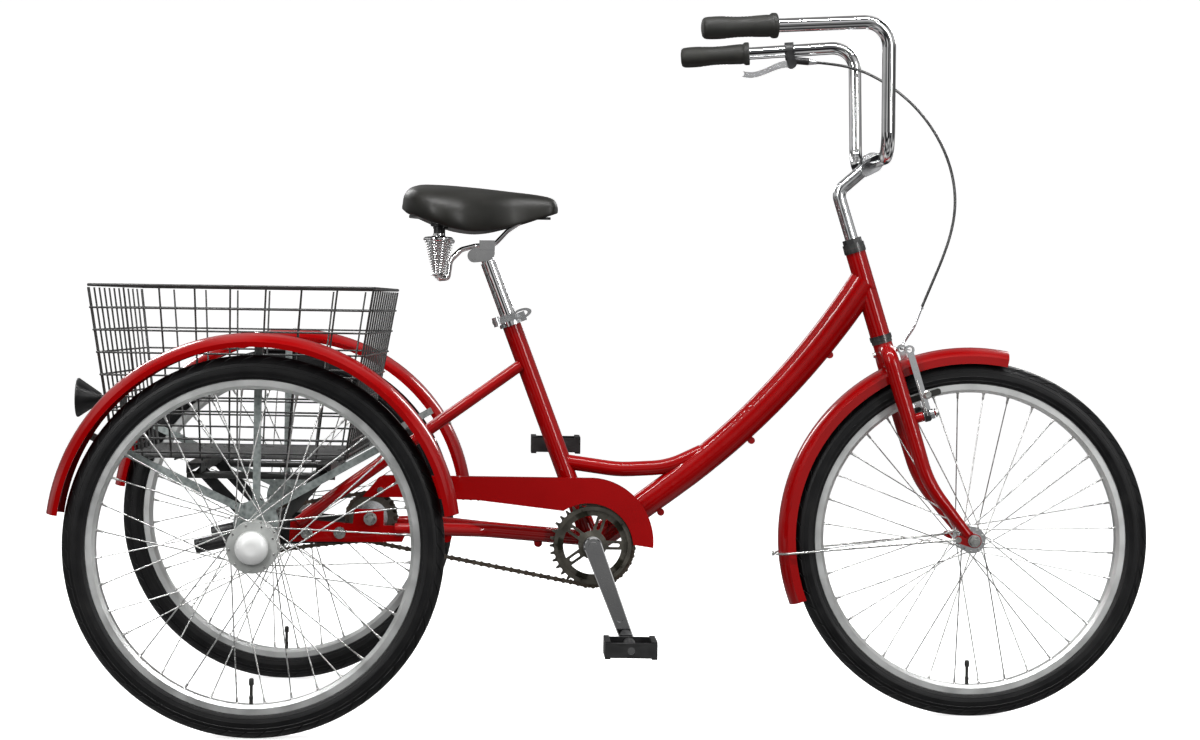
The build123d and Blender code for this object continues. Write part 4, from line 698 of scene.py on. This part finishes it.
def saddle_mesh(shrink):
    """A closed crowned form: wide and level at the back, tapering to a rounded nose, hollow beneath."""
    points, rows = [], []
    for i in range(1, SADDLE_STATIONS):
        section = saddle_section((1 - cos(pi * i / SADDLE_STATIONS)) / 2, shrink)
        rows.append(range(len(points), len(points) + len(section)))
        points += section
    faces = skin(rows)
    for row, x, way in ((rows[0], SADDLE_LOW.x + shrink, 1), (rows[-1], SADDLE_HIGH.x - shrink, -1)):
        tip = len(points)
        points.append(Vector((x, 0, sum(points[i].z for i in row) / len(row))))
        for k in range(len(row)):
            side_edge = (row[k], row[(k + 1) % len(row)])
            faces.append((*side_edge[::way], tip))
    return points, faces


def inflated(piece, pressure, frames, cap):
    """The piece puffed up as cloth under air pressure, no point moving further than cap, then eased."""
    rest = [v.co.copy() for v in piece.data.vertices]
    cloth = piece.modifiers.new("cloth", "CLOTH")
    cloth.settings.quality = 6
    cloth.settings.mass = 0.3
    cloth.settings.tension_stiffness = 30
    cloth.settings.compression_stiffness = 30
    cloth.settings.bending_stiffness = 4
    cloth.settings.use_pressure = True
    cloth.settings.uniform_pressure_force = pressure
    cloth.settings.effector_weights.gravity = 0
    scene = bpy.context.scene
    for step in range(1, frames + 1):
        scene.frame_set(step)
    held = piece.evaluated_get(bpy.context.evaluated_depsgraph_get())
    moved = [v.co.copy() for v in held.data.vertices]
    piece.modifiers.remove(cloth)
    scene.frame_set(1)
    for vertex, before, after in zip(piece.data.vertices, rest, moved):
        shift = after - before
        if shift.length > cap:
            shift = shift.normalized() * cap
        vertex.co = before + shift
    eased = bmesh.new()
    eased.from_mesh(piece.data)
    for _ in range(EASING_PASSES):
        bmesh.ops.smooth_vert(eased, verts=eased.verts, factor=0.5,
                              use_axis_x=True, use_axis_y=True, use_axis_z=True)
    eased.to_mesh(piece.data)
    eased.free()
    piece.data.update()


cover = mesh_of("saddle_cover_look", *saddle_mesh(SHELL_INSET))
inflated(cover, AIR_PRESSURE, CLOTH_FRAMES, MOST_PUFF)
smoothing = cover.modifiers.new("round", "SUBSURF")
smoothing.levels = 2
smoothing.render_levels = 2
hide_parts("saddle_cover")
dressed(cover, "seat", "saddle_vinyl")


# ---------------------------------------------------------------- saddle springs
SPRINGS_LOW, SPRINGS_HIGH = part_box("saddle_springs")
SPRING_X = (SPRINGS_LOW.x + SPRINGS_HIGH.x) / 2
SPRING_Y = 0.070
COIL_TURNS = 13
COIL_STEPS = 16
COIL_WIRE_R = 0.0013
COIL_LOW_R, COIL_FLARE = 0.0085, 0.0140
COIL_LOW_Z, COIL_RISE = 0.7355, 0.0535
TOP_PLATE = [
    (0, 791.5), (22.5, 791.2), (24.6, 789.6), (25.0, 790.8), (24.6, 793.4), (22.0, 795.4), (12.0, 796.2),
    (9.0, 797.5), (9.0, 801.0), (0, 801.0),
]
LOW_PLATE = [(0, 729.8), (7.0, 729.8), (8.0, 730.6), (11.6, 731.4), (12.0, 732.6), (11.2, 733.6), (0, 733.8)]
BRACKET = [(0, 801), (8.0, 801), (8.0, 812), (13.0, 813), (13.5, 822), (6.0, 829), (0, 829)]


def saddle_spring(side):
    """A conical coil with its two plates, its bolt and the bracket above it; gives back the coil."""
    name = SIDES[side]
    centre = Vector((SPRING_X, side * SPRING_Y, 0))
    turns = []
    steps = COIL_TURNS * COIL_STEPS
    for k in range(steps + 1):
        t = k / steps
        r = COIL_LOW_R + COIL_FLARE * t
        a = 2 * pi * COIL_TURNS * t * side
        turns.append(centre + Vector((r * cos(a), r * sin(a), COIL_LOW_Z + COIL_RISE * t)))
    coil = wire(f"{name}_coil", turns, COIL_WIRE_R, 3, resolution=3, sides=3)
    dressed(coil, "seat", "chrome_plate")
    bolt = hex_head(centre + mm(0, 0, 729.9), (0, 0, -1), 0.0058, 0.0035)
    plates = [turned(TOP_PLATE, centre, UP, 48), turned(LOW_PLATE, centre, UP, 40), bolt]
    dressed(crisp(joined(f"{name}_spring_plates", plates)), "seat", "chrome_plate")
    bracket = joined(f"{name}_spring_bracket", [turned(BRACKET, centre, UP, 28)])
    dressed(crisp(bracket), "seat", "black_plastic")
    return coil


coils = [saddle_spring(side) for side in SIDES]
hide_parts("saddle_springs")


# ---------------------------------------------------------------- grips
GRIP_END = {side: mm(127.0, side * 245.0, 1130.0) for side in SIDES}
BAR_CORNER = {side: mm(429.0, side * 205.0, 1150.0) for side in SIDES}
GRIP_NOSE = [(0.0, -3.0), (10.0, -2.8), (14.5, -1.6), (16.6, 0.6), (17.6, 3.5)]
GRIP_FLANGE = [
    (17.6, 108.0), (19.6, 110.0), (20.5, 112.0), (20.5, 117.0), (19.6, 119.0), (11.3, 119.0), (11.3, 4.0),
    (0, 4.0),
]
GRIP_RINGS = 34
RING_STEP = 2.9
GROOVED_RINGS = range(10, 26, 2)
GROOVE = 0.55


def grip_outline():
    """A grip's outline: a domed end, a palm swell with grooves, and a flange at its inner end."""
    body = []
    for k in range(GRIP_RINGS):
        h = 8.0 + k * RING_STEP
        swell = 17.4 + 1.2 * cos((h - 20.0) / 46.0 * pi) * (0.8 if h < 60 else 0.55)
        body.append((swell - (GROOVE if k in GROOVED_RINGS else 0.0), h))
    return GRIP_NOSE + body + GRIP_FLANGE


grip_parts = []
for side in SIDES:
    direction = (BAR_CORNER[side] - GRIP_END[side]).normalized()
    grip_parts.append(turned(grip_outline(), GRIP_END[side], direction, 56))
grips = crisp(joined("grips_look", grip_parts), 50.0)
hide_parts("grips")
dressed(grips, "steering", "black_rubber")


# ---------------------------------------------------------------- brake cable on its route, and its adjuster
CABLE_R = 0.0025
CABLE_ROUTE = [
    (351.0, 206.0, 1122.0), (390.0, 196.0, 1118.5), (433.0, 180.0, 1108.0), (470.0, 162.0, 1088.0),
    (504.0, 143.0, 1062.0), (533.0, 126.0, 1031.0), (558.0, 111.0, 994.0), (577.0, 98.0, 952.0),
    (588.0, 88.0, 908.0), (590.0, 80.0, 863.0), (582.0, 74.0, 818.0), (567.0, 70.0, 774.0),
    (549.0, 68.0, 731.0), (532.0, 67.0, 690.0),
]
ADJUSTER = [
    (2.7, -4.0), (4.4, -4.0), (4.4, -2.5), (5.6, -2.2), (5.6, 0.4), (4.9, 0.8), (4.9, 5.5), (3.9, 6.6),
    (3.9, 10.5), (3.2, 11.4), (2.7, 11.4), (2.7, -4.0),
]
cable = wire("brake_cable_look", [mm(*p) for p in CABLE_ROUTE], CABLE_R, 3, resolution=12, sides=5)
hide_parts("brake_cable")
dressed(cable, "steering", "black_plastic", CABLE_BLACK)

exit_way = (mm(*CABLE_ROUTE[1]) - mm(*CABLE_ROUTE[0])).normalized()
adjuster = crisp(joined("barrel_adjuster", [turned(ADJUSTER, mm(*CABLE_ROUTE[0]), exit_way, 20)]))
dressed(adjuster, "steering", "polished_alloy")


# ---------------------------------------------------------------- brake fittings on the two arms
PIVOT_UP, PIVOT_Y = -148.7, 44.0
PAD_UP, PAD_FORWARD = -116.0, 41.1
BOLT_WASHER = [(0, 0), (7.8, 0), (7.8, 1.3), (0, 1.3)]
SPRING_COVER = [(8.7, 26.0), (10.4, 26.4), (10.8, 34.0), (9.6, 36.5), (8.7, 36.5), (8.7, 26.0)]
SPRING_HEIGHTS = (0, 18, 40, 62)
INNER_PAD_WASHER = [(3.2, 26.2), (7.2, 26.2), (7.2, 28.0), (5.4, 30.0), (3.2, 30.0), (3.2, 26.2)]
OUTER_PAD_WASHER = [(0, 45.6), (7.0, 45.6), (7.4, 47.0), (6.4, 47.8), (0, 47.8)]


def brake_fittings(side):
    """The pivot bolt, spring cover, spring wire and pad washers of one brake arm."""
    name = SIDES[side]
    body = f"{name}_brake"
    out = Vector((0, side, 0))
    pivot = head(PIVOT_UP, 0, side * PIVOT_Y)
    bolt = [hex_head(pivot + HEAD_FWD * 0.0475, HEAD_FWD, 0.0062, 0.0045),
            turned(BOLT_WASHER, pivot + HEAD_FWD * 0.0462, HEAD_FWD, 24)]
    dressed(crisp(joined(f"{name}_brake_bolt", bolt)), body, "zinc_steel")
    spring_cover = joined(f"{name}_spring_cover", [turned(SPRING_COVER, pivot, HEAD_FWD, 28)])
    dressed(crisp(spring_cover), body, "black_plastic")
    spring_foot = pivot + HEAD_FWD * 0.031 + out * 0.0115
    spring = [spring_foot + HEAD_UP * s * MM for s in SPRING_HEIGHTS]
    spring[-1] = spring[-1] - out * 0.006
    dressed(wire(f"{name}_return_spring", spring, 0.0008, 3), body, "zinc_steel")
    pad = head(PAD_UP, PAD_FORWARD, 0)
    washers = [
        turned(INNER_PAD_WASHER, pad, out, 24),
        hex_head(pad + out * 0.0478, out, 0.0056, 0.0045),
        turned(OUTER_PAD_WASHER, pad, out, 24),
    ]
    dressed(crisp(joined(f"{name}_pad_washers", washers)), body, "zinc_steel")


for side in SIDES:
    brake_fittings(side)


# ---------------------------------------------------------------- pedal reflectors
REFLECTOR_SINK = 0.0016
REFLECTOR_DEPTH = 0.0012
REFLECTOR_TAPER = 0.0014
REFLECTOR_HALF = (0.0285, 0.0075)
CORNERS = ((-1, -1), (1, -1), (1, 1), (-1, 1))
SLAB_FACES = [(0, 1, 2, 3), (4, 5, 6, 7), (0, 1, 5, 4), (1, 2, 6, 5), (2, 3, 7, 6), (3, 0, 4, 7)]


def pedal_reflectors(name):
    """Amber reflectors with bevelled sides, let into the front and back edges of a pedal."""
    low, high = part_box(f"{name}_pedal")
    middle = (low + high) / 2
    half_y, half_z = REFLECTOR_HALF
    lenses = []
    for end in (-1, 1):
        edge_x = high.x if end > 0 else low.x
        corners = []
        for depth, inset in ((0.0, 0.0), (REFLECTOR_DEPTH, REFLECTOR_TAPER)):
            for a, b in CORNERS:
                corners.append(Vector((edge_x - end * (REFLECTOR_SINK - depth),
                                       middle.y + a * (half_y - inset), middle.z + b * (half_z - inset))))
        lenses.append((corners, SLAB_FACES))
    reflectors = joined(f"{name}_pedal_reflectors", lenses, smooth=False)
    dressed(reflectors, f"{name}_pedal", "red_lens", AMBER_LENS)


for name in ("right", "left"):
    pedal_reflectors(name)


# ---------------------------------------------------------------- small screws that the frame leaves out
FENDER_SCREW_DEG = (29.5, 90.0, 155.0)
FENDER_SCREW_R = 0.3255
FENDER_RISE = 0.009
FENDER_SHIFT_X = {1: 0.008, -1: -0.001}
SCREW_INSET_Y = 0.012
CROWN_UP, CROWN_HALF_DEPTH = -30.0, 16.4

fender_screws = []
for side in SIDES:
    centre = Vector((REAR_AXLE.x + FENDER_SHIFT_X[side], side * (HALF_TRACK - SCREW_INSET_Y),
                     REAR_AXLE.z + FENDER_RISE))
    for angle in FENDER_SCREW_DEG:
        out = Vector((cos(radians(angle)), 0, sin(radians(angle))))
        fender_screws.append(dome_screw(centre + out * FENDER_SCREW_R, out, 0.0042, 0.0024))
dressed(crisp(joined("rear_fender_screws", fender_screws)), "frame", "zinc_steel")

crown_bolts = []
for way in (1, -1):
    crown_bolts.append(hex_head(head(CROWN_UP, way * CROWN_HALF_DEPTH), HEAD_FWD * way, 0.0052, 0.0045))
dressed(crisp(joined("crown_bolts", crown_bolts)), "steering", "zinc_steel")


# ---------------------------------------------------------------- stage
STAGE_COLOUR = (0.93, 0.93, 0.93)
STAGE_GLOW = 0.75
STAGE_FLAT_R = 8.0
STAGE_BEND_R = 2.5
STAGE_TOP = 9.0
STAGE_SEGMENTS = 96
BEND_STEPS = 12


def stage():
    """A pale round floor that curves up all the way round; it neither lights nor mirrors in the tricycle."""
    profile = [(0.0, 0.0), (STAGE_FLAT_R, 0.0)]
    for k in range(1, BEND_STEPS + 1):
        a = pi / 2 * k / BEND_STEPS
        profile.append((STAGE_FLAT_R + STAGE_BEND_R * sin(a), STAGE_BEND_R - STAGE_BEND_R * cos(a)))
    profile.append((STAGE_FLAT_R + STAGE_BEND_R, STAGE_TOP))
    floor = mesh_of("stage_floor", *lathe_parts(profile, (0, 0, 0), UP, STAGE_SEGMENTS))
    look, tree, principled, coords = shader("stage_look", STAGE_COLOUR, 0.8, 0.0,
                                            Emission_Strength=STAGE_GLOW)
    principled.inputs["Emission Color"].default_value = (*STAGE_COLOUR, 1)
    shades = between(tuple(c * 0.985 for c in STAGE_COLOUR), STAGE_COLOUR)
    tree.links.new(ramp(tree, noise(tree, coords, 1.5), shades), principled.inputs["Base Color"])
    floor.data.materials.append(look)
    floor.visible_diffuse = False
    floor.visible_glossy = False


# ---------------------------------------------------------------- light: name, place, target, size, watts
LIGHTS = [
    ("overhead", (0.0, -1.1, 3.2), (0.0, 0.0, 0.4), (4.4, 0.16), 120.0),
    ("front_left", (-2.6, -3.4, 2.2), (-0.3, 0.0, 0.5), (0.5, 2.2), 75.0),
    ("front_right", (2.8, -3.2, 1.8), (0.3, 0.0, 0.5), (0.4, 2.2), 60.0),
    ("back_left", (-2.2, 3.2, 2.4), (-0.2, 0.0, 0.5), (0.5, 1.6), 40.0),
    ("back_right", (2.2, 3.2, 2.4), (0.2, 0.0, 0.5), (0.5, 1.6), 40.0),
]
WORLD_STRENGTH = 0.26


def softbox(name, place, target, size, power):
    """A rectangular area light aimed at a point."""
    data = bpy.data.lights.new(name, "AREA")
    data.shape = "RECTANGLE"
    data.size, data.size_y = size
    data.energy = power
    lamp = link(name, data)
    lamp.location = place
    lamp.rotation_euler = (Vector(target) - Vector(place)).to_track_quat("-Z", "Y").to_euler()


def studio_world():
    """A grey surround with soft dark and bright patches, which the chrome picks up as bands."""
    world = bpy.data.worlds.new("studio")
    world.use_nodes = True
    tree = world.node_tree
    sky = tree.nodes.new("ShaderNodeTexCoord")
    patches = noise(tree, sky.outputs["Generated"], 2.2, 1.0)
    greys = [(0.38, (0.05, 0.05, 0.055)), (0.5, (0.9, 0.9, 0.9)), (0.62, (2.4, 2.4, 2.4))]
    background = tree.nodes["Background"]
    tree.links.new(ramp(tree, patches, greys), background.inputs["Color"])
    background.inputs["Strength"].default_value = WORLD_STRENGTH
    bpy.context.scene.world = world


stage()
for light in LIGHTS:
    softbox(*light)
studio_world()
